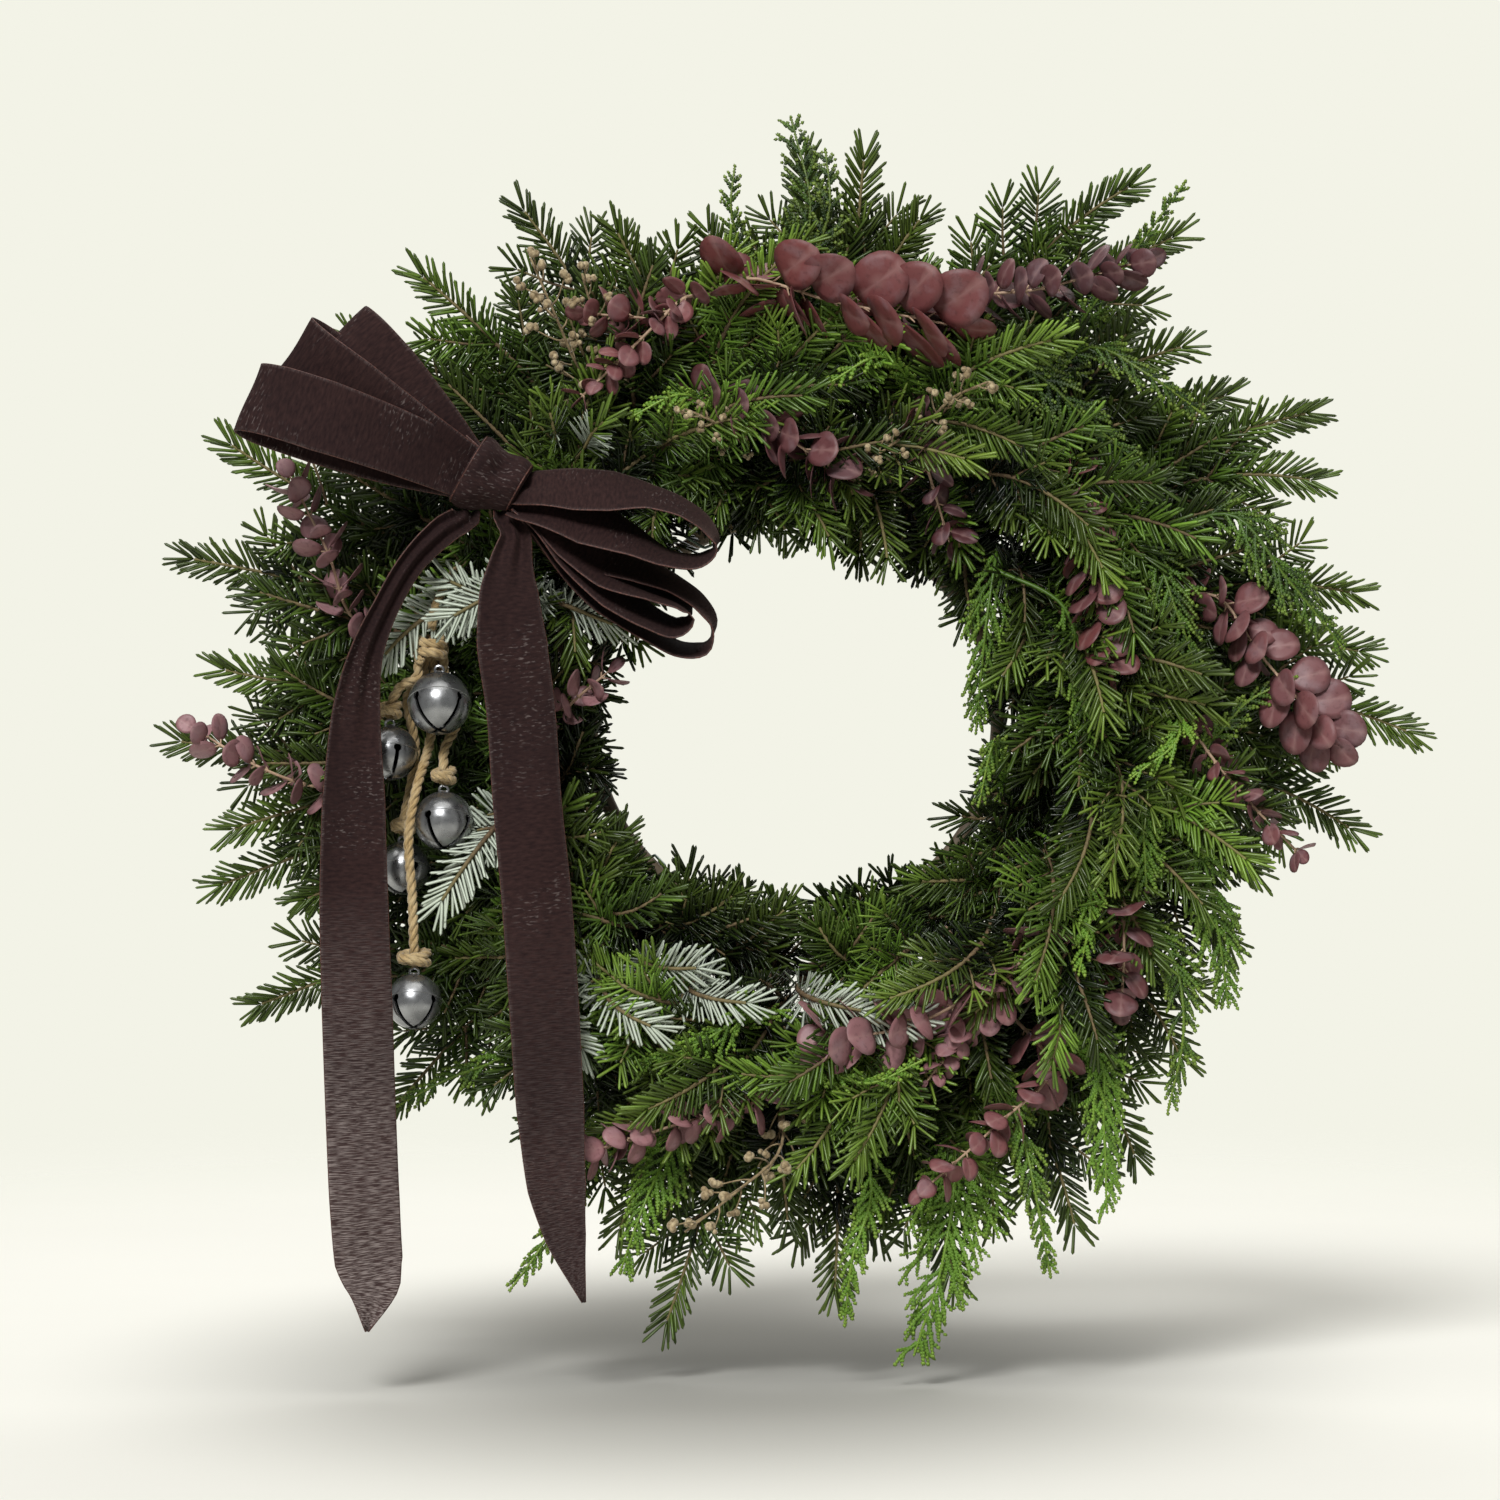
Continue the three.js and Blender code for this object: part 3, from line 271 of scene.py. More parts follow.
def grain(tree, scale, detail=2.0, stretch=None, where=None):
    """Noise in the piece's own space, scale in grains a metre."""
    where = where or node(tree, "ShaderNodeTexCoord", out=3)
    if stretch:
        where = node(tree, "ShaderNodeMapping", {"Vector": where, "Scale": stretch})
    return node(tree, "ShaderNodeTexNoise", {"Vector": where, "Scale": scale, "Detail": detail})


def span(tree, value, low, high, to_low=0.0, to_high=1.0):
    return node(tree, "ShaderNodeMapRange",
                {"Value": value, "From Min": low, "From Max": high, "To Min": to_low, "To Max": to_high})


class Finish:
    """A material with its shader and node tree."""

    def __init__(self, name, roughness, **sockets):
        self.material = bpy.data.materials.new(name)
        self.material.use_nodes = True
        self.tree = self.material.node_tree
        self.shader = self.tree.nodes["Principled BSDF"]
        self.shader.inputs["Roughness"].default_value = roughness
        for socket, value in sockets.items():
            self.shader.inputs[socket.replace("_", " ")].default_value = value

    def set(self, socket, value):
        self.tree.links.new(value, self.shader.inputs[socket])

    def paint(self, colour, *layers):
        """A ground colour, with others laid over it, each by its own share."""
        for share, over in layers:
            colour = blend(self.tree, share, colour, over)
        self.set("Base Color", colour)

    def bump(self, height, strength, distance):
        self.set("Normal", node(self.tree, "ShaderNodeBump",
                                {"Height": height, "Strength": strength, "Distance": distance * MM}))


def mottled(name, roughness, spots, reach, low, high, bump, **sockets):
    """A finish of two colours in soft spots, with a fine bump."""
    f = Finish(name, roughness, **sockets)
    f.paint(low, (span(f.tree, grain(f.tree, *spots), *reach), high))
    f.bump(grain(f.tree, *bump[:2]), *bump[2:])
    return f.material


def needle_finish():
    """Dark fir needles, paler at a fresh tip, white underneath, with painted shade that turns them nearly
    black deep inside the wreath.
    """
    f = Finish("fir needles", 0.3, Specular_IOR_Level=0.4)
    t = f.tree
    bright = maths(t, "POWER", maths(t, "MAXIMUM", mark(t, "tone"), 0.0), 1.7)
    place = node(t, "ShaderNodeTexCoord", out=3)
    # Painted shade: needles nearer the wall are darkened towards near-black, most near the ring's middle and
    # less towards its outer edge.
    deep = span(t, node(t, "ShaderNodeSeparateXYZ", {0: place}, out=1), -0.112, -0.034, 0, 0.9)
    from_middle = vectors(t, "LENGTH", node(t, "ShaderNodeMapping", {
        "Vector": place, "Location": (0, 0, HOOK_DROP * MM), "Scale": (1, 0, 1)}))
    inside = span(t, from_middle, 0.27, 0.19, 0.42, 1.0)
    f.paint(0x060D04, (bright, 0x7FAA3D), (mark(t, "fresh", 0.6), 0x9CBB4A),
            (span(t, grain(t, 30), 0.35, 0.7, 0, 0.62), 0x0F1E0B), (mark(t, "under", 0.88), 0xD2DCCB),
            (maths(t, "MULTIPLY", deep, inside), 0x050904))
    f.bump(grain(t, 900, 1), 0.25, 0.2)
    return f.material


def bark_finish():
    f = Finish("fir bark", 0.75)
    t = f.tree
    f.paint(0x4A3A2A, (span(t, grain(t, 400, 4), 0.3, 0.7), 0x7B6548), (mark(t, "fresh", 0.8), 0x8D8B52))
    f.bump(grain(t, 900, 4), 0.6, 0.4)
    return f.material


def cedar_finish():
    """Flat scale leaves: glossy green, yellower towards the tips."""
    f = Finish("cedar scales", 0.4, Specular_IOR_Level=0.4)
    t = f.tree
    f.paint(0x1E310E, (mark(t, "tone"), 0x6B9430), (mark(t, "fresh", 0.55), 0xA0BA4C))
    f.bump(grain(t, 1200, 1), 0.3, 0.2)
    return f.material


def leaf_finish():
    """Round eucalyptus leaves, burgundy to grey-mauve, under a pale bloom; darker rims and paler veins."""
    f = Finish("eucalyptus leaves", 0.5, Specular_IOR_Level=0.4)
    t = f.tree
    bloom = span(t, grain(t, 90, 4), 0.5, 0.76, 0, 0.4)
    specks = span(t, grain(t, 380, 5), 0.55, 0.7, 0, 0.35)
    f.paint(0x6C2923, (mark(t, "tone"), 0x4E3236), (mark(t, "rosy"), 0xBC8C90), (bloom, 0x9A8A90),
            (specks, 0x3E1F1F), (mark(t, "rim", 0.35), 0x4A2020), (mark(t, "vein", 0.3), 0xB7938E))
    f.bump(grain(t, 500, 3), 0.25, 0.3)
    return f.material


def dried_finish():
    f = Finish("dried flowers", 0.8, Sheen_Weight=0.2)
    t = f.tree
    f.paint(0x8A7450, (mark(t, "tone"), 0xCDBB95), (span(t, grain(t, 500, 3), 0.4, 0.7), 0x6E5A3C))
    f.bump(grain(t, 900, 3), 0.6, 0.4)
    return f.material


def velvet_finish():
    """Dark brown velvet: a soft sheen, brushed patches, and pale streaks where it is worn thin."""
    f = Finish("brown velvet", 0.9, Specular_IOR_Level=0.15, Sheen_Weight=0.26, Sheen_Roughness=0.35,
               Sheen_Tint=linear(0x8A746C))
    t = f.tree
    cloth = node(t, "ShaderNodeCombineXYZ", {0: mark(t, "over"), 1: mark(t, "along")})

    def weave(scale, detail, stretch, low, high):
        return span(t, grain(t, scale, detail, stretch=(stretch, 1, 1), where=cloth), low, high)

    patches = span(t, grain(t, 26, 2), 0.5, 0.64)
    scratches, streaks = weave(0.8, 5, 0.3, 0.57, 0.7), weave(1.9, 5, 0.07, 0.45, 0.62)
    brushed_off = maths(t, "MULTIPLY", maths(t, "MULTIPLY", scratches, patches), 0.3)
    worn_off = maths(t, "MULTIPLY", maths(t, "MULTIPLY", streaks, mark(t, "worn")), 0.85)
    f.paint(0x231617, (weave(0.7, 6, 0.3, 0.3, 0.72), 0x3B2826),
            (span(t, grain(t, 14, 3), 0.4, 0.7, 0, 0.5), 0x1B1112), (mark(t, "worn", 0.4), 0x5E4E4C),
            (maths(t, "ADD", worn_off, brushed_off), 0xA69A96))
    f.bump(grain(t, 2.0, 3, stretch=(0.3, 1.4, 1), where=cloth), 0.6, 0.3)
    return f.material


def jute_finish():
    """Dry jute, its fibres along the ply."""
    f = Finish("jute", 0.85, Sheen_Weight=0.3)
    t = f.tree
    where = node(t, "ShaderNodeCombineXYZ", {0: mark(t, "round"), 1: mark(t, "along")})
    fibres = grain(t, 1.0, 4, stretch=(9, 0.35, 1), where=where)
    f.paint(0x7C6238, (span(t, fibres, 0.3, 0.7), 0xC9AC78),
            (span(t, grain(t, 120, 2), 0.35, 0.75, 0, 0.5), 0xE0CCA2))
    f.bump(fibres, 0.8, 0.5)
    return f.material


def silver_finish(name="satin silver", low=0x77787A, high=0xADAEAF, roughness=0.24):
    f = Finish(name, roughness, Metallic=0.9)
    t = f.tree
    f.paint(low, (span(t, grain(t, 60, 4), 0.3, 0.7), high))
    f.set("Roughness", span(t, grain(t, 220, 5), 0.3, 0.7, roughness - 0.06, roughness + 0.14))
    f.bump(grain(t, 900, 4), 0.08, 0.2)
    return f.material


def willow_finish():
    f = Finish("willow frame", 0.6)
    t = f.tree
    f.paint(0x4C4030, (span(t, grain(t, 60, 5), 0.3, 0.7), 0x7A6A52),
            (span(t, grain(t, 350, 2), 0.55, 0.8, 0, 0.6), 0x3A2E22))
    f.bump(grain(t, 500, 5), 0.5, 0.4)
    return f.material


NEEDLES, BARK, CEDAR = needle_finish(), bark_finish(), cedar_finish()
LEAVES, DRIED, WILLOW = leaf_finish(), dried_finish(), willow_finish()
VELVET_BROWN, JUTE, SILVER = velvet_finish(), jute_finish(), silver_finish()
STEEL = silver_finish("pellet steel", 0x77797B, 0xA5A7A9, 0.25)
# A near-black copy of the satin silver for the inside of each bell: painted shade in its hollow.
BELL_INSIDE_SHADE = silver_finish("bell inside", 0x161616, 0x232324, 0.5)
STEMS = mottled("eucalyptus stems", 0.6, (150, 3), (0.3, 0.7), 0x9A7F68, 0xC7A98D, (700, 3, 0.4, 0.3))
EDGING = mottled("ribbon edging", 0.5, (800, 2), (0.35, 0.65), 0x35201D, 0x633C32, (1500, 2, 0.5, 0.2),
                 Metallic=0.2)
GREEN_WIRE = mottled("green wire", 0.4, (300, 3), (0.35, 0.7), 0x1E3322, 0x3B5A3E, (900, 2, 0.2, 0.1),
                     Metallic=0.3, Coat_Weight=0.3)


# ---- camera, floor and light ----
def camera():
    data = bpy.data.cameras.new("camera")
    data.sensor_width = 36
    data.lens = data.sensor_width * CAMERA_FAR / PICTURE
    data.clip_end = 60
    thing = placed("camera", data)
    thing.location = at(VIEW_X, VIEW_Z, CAMERA_FAR + FACE_DEPTH) * MM
    thing.rotation_euler = (math.radians(90), 0, 0)
    bpy.context.scene.camera = thing


def stage():
    """A pale floor that fades out round the wreath, with a soft grey shade under it to deepen its shadow."""
    f = Finish("pale floor", 0.9, Specular_IOR_Level=0.0)
    t = f.tree

    def oval(location, scale, low, high):
        """A smooth step between two distances from a place, measured in an oval."""
        far = vectors(t, "LENGTH", node(t, "ShaderNodeMapping", {
            "Vector": node(t, "ShaderNodeTexCoord", out=3), "Location": location, "Scale": scale}))
        return node(t, "ShaderNodeMapRange", {"Value": far, "From Min": low, "From Max": high},
                    interpolation_type="SMOOTHSTEP")

    f.paint(0xEFEEE6, (span(t, grain(t, 3, 2), 0.3, 0.7), 0xF1F0E8),
            (oval((0.1, -0.1, 0), (2.7, 1.45, 0), 1.05, 0.2), 0xA8A7A1))
    clear = node(t, "ShaderNodeBsdfTransparent")
    faded = node(t, "ShaderNodeMixShader", {
        0: oval((0, 0, 0), (0.75, 0.42, 0), 0.35, 1.0), 1: f.shader.outputs[0], 2: clear})
    t.links.new(faded, t.nodes["Material Output"].inputs["Surface"])
    shape = Shape()
    turns = np.arange(64) * math.pi / 32
    shape.add([at(FLOOR_WIDE * math.cos(a), FLOOR_Z, FLOOR_DEEP * math.sin(a)) for a in turns], [range(64)])
    placed("stage_floor", outward(shape.mesh("stage_floor", [f.material])))


def sun(name, turn, height, strength, spread, colour=0xFFFFFF):
    """A wide soft light from far away: turn is degrees to the right of the camera, height above the floor."""
    data = bpy.data.lights.new(name, "SUN")
    data.energy, data.angle = strength, math.radians(spread)
    data.color = linear(colour)[:3]
    t, h = math.radians(turn), math.radians(height)
    way = Vector((math.sin(t) * math.cos(h), -math.cos(t) * math.cos(h), math.sin(h)))
    placed(name, data).rotation_euler = way.to_track_quat("Z", "Y").to_euler()


def light():
    """Pale studio: three wide lights, and a backdrop that is bright to see but dim as light and in shine."""
    world = bpy.data.worlds.new("studio")
    world.use_nodes = True
    t = world.node_tree
    rays = node(t, "ShaderNodeLightPath", out=None)
    lit, shine, seen = (node(t, "ShaderNodeBackground", {"Color": linear(colour), "Strength": strength})
                        for colour, strength in ((0xF4F5F2, 0.05), (0xF4F5F2, 0.34), (0xF3F3E7, 1.0)))
    soft = node(t, "ShaderNodeMixShader", {0: rays.outputs["Is Glossy Ray"], 1: lit, 2: shine})
    whole = node(t, "ShaderNodeMixShader", {0: rays.outputs["Is Camera Ray"], 1: soft, 2: seen})
    t.links.new(whole, t.nodes["World Output"].inputs["Surface"])
    bpy.context.scene.world = world
    bpy.context.scene.view_settings.view_transform = "Standard"
    sun("top", -8, 74, 1.05, 56, 0xFFFDF8)
    sun("front", -15, 37, 2.6, 18)
    sun("back", 172, 46, 1.1, 46)


camera()


# ---- jute rope: the routes are the solids' own ----
BELLS = [
    {"x": -186, "z": 8.5, "d": 110, "r": 16.5, "tip": 32, "turn": 45, "knot": 7},
    {"x": -212.5, "z": -17.5, "d": 98, "r": 14.5, "tip": 22, "turn": 20, "knot": 7},
    {"x": -184, "z": -53, "d": 104, "r": 15.5, "tip": 26, "turn": 60, "knot": 7.2},
    {"x": -206, "z": -78, "d": 90, "r": 14, "tip": 20, "turn": 30, "knot": 7},
    {"x": -199, "z": -147, "d": 112, "r": 14.5, "tip": 24, "turn": 50, "knot": 9.5},
]
BELL_WALL, LUG, KNOT_TALL, SLOT = 1.2, 3, 10, 2.2
UNDER_COIL = COIL["bottom"] - 0.6
DROP = UNDER_COIL - 5
STRANDS = {
    2: [[-197.2, UNDER_COIL, 105], [-197.6, DROP, 105], [-207, 17, 101]],
    3: [[-184.2, UNDER_COIL, 100], [-183.8, DROP, 98], [-178, 14, 90], [-178, -2, 88], [-184, -16, 98]],
    4: [[-194.4, UNDER_COIL, 99.4], [-194.8, DROP, 98.6], [-204, 12, 88], [-200, -15, 81], [-203, -38, 83]],
    5: [[-189.3, UNDER_COIL, 98.2], [-189.4, DROP, 97.4], [-190, 10, 86], [-192, -12, 90],
        [-198, -36, 108], [-202, -60, 111], [-200, -92, 112]],
}
HANGER = [[-190, COIL["top"] + 0.6, 105], [-190, COIL["top"] + 5, 105], [-187, 62, 103],
          [-178, 78, 92], [-152, 86, 62]]
HANGER_SEAT = -55.4


def plied(shape, points, taper=0.0, seed=0):
    """Three plies twisted round a path, with loose fibres."""
    draw = random.Random(seed)
    count = max(8, int(length_of(points) / PLY_STEP))
    line = frames(even(points, count))
    along = [i * PLY_STEP for i in range(count)]
    for ply in range(3):
        path, sizes = [], []
        for i, (p, _, front, side) in enumerate(line):
            a = 2 * math.pi * (along[i] / (ROPE_R * 6.2) + ply / 3)
            end = min(1, min(i, count - 1 - i) * PLY_STEP / 2.5 + (1 - taper))
            path.append(p + (front * math.cos(a) + side * math.sin(a)) * (ROPE_R * 0.46 * end))
            sizes.append(ROPE_R * 0.54 * end)
        shape.tube(path, sizes, 8, along=along, round=np.arange(8 * count) % 8 / 8)
    for _ in range(int(length_of(points) * 0.9)):
        p, way, front, side = line[draw.randrange(count)]
        a = draw.random() * 2 * math.pi
        out = front * math.cos(a) + side * math.sin(a)
        root = p + out * ROPE_R * 0.85
        tip = root + (out * 0.8 + way * draw.uniform(-1, 1)) * draw.uniform(0.6, 1.3)
        across = way.cross(out) * 0.09
        shape.add([root - across, root + across, tip, root + way * 0.12],
                  [[0, 1, 2], [1, 3, 2], [3, 0, 2], [0, 3, 1]], along=draw.random() * 20,
                  round=draw.random())


def knot_turns(shape, place, wide, tall, seed):
    """A pulled-tight overhand knot: two crossing turns of rope round the strand."""
    draw = random.Random(seed)
    spots, steps, sides, up = 22, 40, 6, Vector((0, 0, 1))
    for tilt, lift in ((0.42, 0.17), (-0.42, -0.17)):
        ring = []
        for k in range(spots):
            a = 2 * math.pi * k / spots + draw.random() * 0.02
            flat = Vector((math.cos(a), math.sin(a), 0)) * (wide - 2.35)
            flat.z = (lift * tall) + math.sin(a + 0.6) * tilt * 3.2
            ring.append(place + flat)
        for ply in range(3):
            path = []
            for k, (p, _, front, side) in enumerate(frames(ring + [ring[0]], up)):
                a = 2 * math.pi * (k / spots * 3 + ply / 3)
                path.append(p + (front * math.cos(a) + side * math.sin(a)) * 1.1)
            shape.tube(even(path, steps), 1.25, sides, facing=up, along=np.arange(float(steps)),
                       round=np.arange(sides * steps) % sides / sides)


def as_cord(thing, route, beside):
    length_of(route) * MM


def rope(number):
    bell = BELLS[number - 1]
    top = bell["z"] + bell["r"] + LUG + 0.3
    head = at(STRANDS[number][0][0], COIL["top"] - 3, STRANDS[number][0][2])
    knot_entry = at(bell["x"], top + KNOT_TALL * 0.7, bell["d"])
    route = smooth([head, *(at(*p) for p in STRANDS[number]), knot_entry], 26)
    shape = Shape()
    plied(shape, route, seed=number)
    thing = shape.piece(f"jute_strand_{number}", [JUTE], "jute", f"rope_strand_{number}")
    shape = Shape()
    knot_turns(shape, at(bell["x"], top + KNOT_TALL / 2, bell["d"]), bell["knot"], KNOT_TALL, number)
    as_cord(thing, route, shape.piece(f"jute_knot_{number}", [JUTE], "jute"))


def whipping():
    """The rope's turns round the heads of the strands."""
    shape = Shape()
    reach = COIL["r"] - ROPE_R
    climb = COIL["top"] - COIL["bottom"] - 2 * ROPE_R
    turns = climb / (2 * ROPE_R) + 0.4
    path = []
    for k in range(int(turns * 24) + 1):
        a = 2 * math.pi * k / 24 + 2.2
        share = min(k / 24, turns) / turns
        wide = reach * (1 - 0.28 * share + 0.04 * math.sin(1.7 * a))
        path.append(at(COIL["x"] + wide * math.cos(a), COIL["bottom"] + ROPE_R + share * climb,
                       COIL["d"] + wide * math.sin(a)))
    plied(shape, path, taper=0.6, seed=77)
    return shape.piece("jute_whipping", [JUTE], "jute", "rope_coil")


def hanger(coil):
    """The rope's end, from the turns up and back to the bound stems."""
    route = smooth([*(at(*p) for p in HANGER), polar(HANGER_SEAT, CORE_RING, CORE_TOP + 12),
                    polar(HANGER_SEAT, CORE_RING, CORE_TOP + 0.6)], 30)
    shape = Shape()
    plied(shape, route, seed=9)
    as_cord(shape.piece("jute_hanger", [JUTE], "jute", "rope_hanger"), route, coil)


hanger(whipping())
for number in STRANDS:
    rope(number)


# ---- jingle bells ----
def sphere(shape, centre, radius, rings=10, segments=16, flip=False, finish=0, **marks):
    corners = [centre + Vector((0, 0, radius))]
    for a in [math.pi * i / rings for i in range(1, rings)]:
        wide, z = math.sin(a), math.cos(a)
        corners += [centre + Vector((wide * math.cos(b), wide * math.sin(b), z)) * radius
                    for b in np.arange(segments) * 2 * math.pi / segments]
    corners.append(centre - Vector((0, 0, radius)))
    last = len(corners) - 1
    row = last - segments
    faces = [[0, 1 + j, 1 + (j + 1) % segments] for j in range(segments)]
    faces += bands(rings - 1, segments, first=1, flip=True)
    faces += [[row + j, last, row + (j + 1) % segments] for j in range(segments)]
    shape.add(corners, [f[::-1] for f in faces] if flip else faces, finish, **marks)


def turned(x, y, angle):
    return x * math.cos(angle) - y * math.sin(angle), x * math.sin(angle) + y * math.cos(angle)


def cutter(r, angle):
    """The tool for one slot: a slim box across the lower half, with a round end at each side."""
    mesh = bmesh.new()
    bmesh.ops.create_cube(mesh, size=1)
    for v in mesh.verts:
        v.co = Vector((v.co.x * (2 * r + 4), v.co.y * SLOT, v.co.z * r * 0.95 - r * 0.6))
    hole = SLOT * 0.95
    for side in (-1, 1):
        made = bmesh.ops.create_cone(mesh, cap_ends=True, segments=20, radius1=hole, radius2=hole,
                                     depth=r * 0.9)
        for v in made["verts"]:
            x, y, z = v.co
            v.co = Vector((side * (r * 1.05 + z), y, -r * 0.13 + x))
    for v in mesh.verts:
        v.co = Vector((*turned(v.co.x, v.co.y, angle), v.co.z)) * MM
    data = bpy.data.meshes.new("slot")
    mesh.to_mesh(data)
    mesh.free()
    return placed("slot", data)


def jingle_bell(number, spec):
    """A hollow shell with crossed slots, its seam and lug, and the pellet inside."""
    r, up = spec["r"], Vector((0, 0, 1))
    shape = Shape()
    sphere(shape, Vector(), r, 40, 64)
    # The inner face takes the second material, the painted-shade copy of the silver.
    sphere(shape, Vector(), r - BELL_WALL, 30, 48, flip=True, finish=1)
    thing = placed("shell", shape.mesh("shell", [SILVER]))
    tools = [cutter(r, angle) for angle in (0, math.pi / 2)]
    for tool in tools:
        cut = thing.modifiers.new("slot", "BOOLEAN")
        cut.operation, cut.object, cut.solver = "DIFFERENCE", tool, "EXACT"
        cut.use_self = True
    settle(thing)
    body = bmesh.new()
    body.from_mesh(thing.data)
    for tool in [*tools, thing]:
        bpy.data.objects.remove(tool)
    seam = Shape()
    ring = [Vector((r * math.cos(a), r * math.sin(a), 0)) * 1.004 for a in np.arange(64) * math.pi / 32]
    seam.tube(ring, 0.35, 6, closed=True, facing=up)
    body.from_mesh(seam.mesh("seam", []))
    for v in body.verts:
        x, y = turned(v.co.x, v.co.y, math.radians(spec["turn"]))
        v.co = Vector((x, *turned(y, v.co.z, -math.radians(spec["tip"]))))
    eye = Shape()
    ring = [Vector((math.cos(a) * 2.3, 0, r + LUG / 2 - 0.6 + math.sin(a) * 2.0))
            for a in np.arange(28) * math.pi / 14]
    eye.tube(ring, 0.75, closed=True)
    eye.tube([up * (r - 0.5), up * (r + 0.5)], [2.6, 1.7], 16)
    body.from_mesh(eye.mesh("eye", []))
    for v in body.verts:
        v.co += at(spec["x"], spec["z"], spec["d"]) * MM
    mesh = bpy.data.meshes.new(f"silver_bell_{number}")
    body.to_mesh(mesh)
    body.free()
    mesh.materials.append(SILVER)
    mesh.materials.append(BELL_INSIDE_SHADE)
    mesh.shade_smooth()
    mesh.set_sharp_from_angle(angle=math.radians(35))
    piece(f"silver_bell_{number}", mesh, "bell_metal", f"bell_{number}")
    shape = Shape()
    size = r * 0.28
    sphere(shape, at(spec["x"] + 0.8, spec["z"] - (r - BELL_WALL - size - 0.8), spec["d"]), size, 14, 20)
    shape.piece(f"steel_pellet_{number}", [STEEL], "pellet_steel", f"bell_pellet_{number}")


for number, spec in enumerate(BELLS, 1):
    jingle_bell(number, spec)


# ---- velvet bow ----
def pleated(width):
    """Folds across a full-width ribbon that is gathered to a width, and how far they stand out."""
    tight = max(0, 0.84 - width / RIBBON) / 0.84
    folds = 4
    return folds, min(math.sqrt(max((RIBBON / folds) ** 2 - (width / folds) ** 2, 0)) * tight * 1.3, 4.5)


def ribbon(shape, edging, points, widths, across, rows, wave, seed, worn=0.0, flat_from=2.0):
    """A strip of velvet along points, pleated where it is narrow before flat_from, edged along both sides."""
    columns = 22
    phase = random.Random(seed).random() * 6
    line = smooth(points, rows)
    run = np.linspace(0, 1, rows)
    spaced = np.concatenate([[0], np.cumsum([(b - a).length for a, b in zip(points, points[1:])])])
    given = spaced / spaced[-1]
    wide = np.interp(run, given, widths)
    if not isinstance(across, list):
        across = [across] * len(points)
    ways = [Vector(np.array([np.interp(t, given, [a[k] for a in across]) for k in range(3)])) for t in run]
    grid, edges = [[], []], [[], []]
    marks, over, along = [], [], []
    long = length_of(line)
    for i, p in enumerate(line):
        way = (line[min(i + 1, rows - 1)] - line[max(i - 1, 0)]).normalized()
        out = (ways[i] - way * ways[i].dot(way)).normalized()
        thick = way.cross(out)
        folds, depth = pleated(wide[i])
        depth *= min(1, max(0, flat_from - run[i]) * 8)
        for j in range(columns + 1):
            s = j / columns * 2 - 1
            fold = depth / 2 * math.cos(math.pi * folds * (s + 1) / 2 + 0.4)
            fold += wave[0] * math.sin(s * 2.1 + run[i] * wave[1] + phase) * min(1, run[i] * 6)
            q = p + out * (wide[i] / 2 * s) + thick * fold
            grid[0].append(q + thick * VELVET / 2)
            grid[1].append(q - thick * VELVET / 2)
            marks.append(max(worn * (run[i] - 0.48) * 1.8, 0) + (0.2 if j in (0, columns) else 0))
            over.append(s * RIBBON / 2 + 100 * phase)
            along.append(run[i] * long)
        edges[0].append(grid[0][-columns - 1] - thick * VELVET / 2)
        edges[1].append(grid[0][-1] - thick * VELVET / 2)
    n = rows * (columns + 1)
    faces = []
    for i in range(rows - 1):
        for j in range(columns):
            a = i * (columns + 1) + j
            quad = [a, a + 1, a + columns + 2, a + columns + 1]
            faces += [quad, [n + k for k in quad[::-1]]]
        a, b = i * (columns + 1), (i + 1) * (columns + 1)
        faces += [[a, b, n + b, n + a], [a + columns, n + a + columns, n + b + columns, b + columns]]
    last = (rows - 1) * (columns + 1)
    for j in range(columns):
        faces += [[j, n + j, n + j + 1, j + 1], [last + j, last + j + 1, n + last + j + 1, n + last + j]]
    shape.add(grid[0] + grid[1], faces, worn=marks * 2, over=over * 2, along=along * 2)
    for edge in edges:
        edging.tube(edge, 0.42, 6)
    return long


def bow_piece(name, node_name, loop, held, **options):
    """A strip of ribbon as one piece of cloth, its edging beside it."""
    shape, edging = Shape(), Shape()
    long = ribbon(shape, edging, *loop, **options)
    cloth = shape.piece(name, [VELVET_BROWN], "velvet", node_name)
    trim = edging.piece(f"{name}_edging", [EDGING], "velvet")


# The knot's ends: the middle of each rim, its half height and half depth, and the way the rims lean.
KNOT_RIMS = [(-172, 129.6, 21, 16.5), (-143, 120, 14, 14)]
RIM_LEAN = Vector((0.5, 0, 0.866))
KNOT_BOTTOM = KNOT.y - KNOT_SIZE.y / 2
LEFT_LOOPS = [
    {"end": (-284, 167), "forward": 16, "deep": 20, "turn": 12},
    {"end": (-262, 193), "forward": 4, "deep": 16, "turn": -10},
    {"end": (-238, 203), "forward": -6, "deep": 16, "turn": 14},
]
RIGHT_LOOPS = [
    {"ahead": 8, "root": 22, "outline": [
        (-146, 121), (-132, 121), (-116, 120), (-96, 119), (-76, 116), (-58, 109.5), (-46, 100),
        (-42, 90), (-50, 83), (-66, 84), (-87, 94), (-109, 103), (-132, 110), (-146, 113)]},
    {"ahead": 1, "root": 15, "outline": [
        (-146, 115), (-134, 108), (-118, 93), (-98, 78), (-76, 67), (-60, 60), (-55, 54), (-62, 48),
        (-76, 53), (-95, 66), (-119, 87), (-136, 104), (-146, 111)]},
    {"ahead": -10, "root": 13, "outline": [
        (-146, 114), (-132, 106), (-108, 90), (-84, 80), (-64, 71), (-50, 61), (-43, 49), (-47, 38),
        (-60, 37), (-76, 46), (-98, 64), (-124, 88), (-146, 110)]},
]
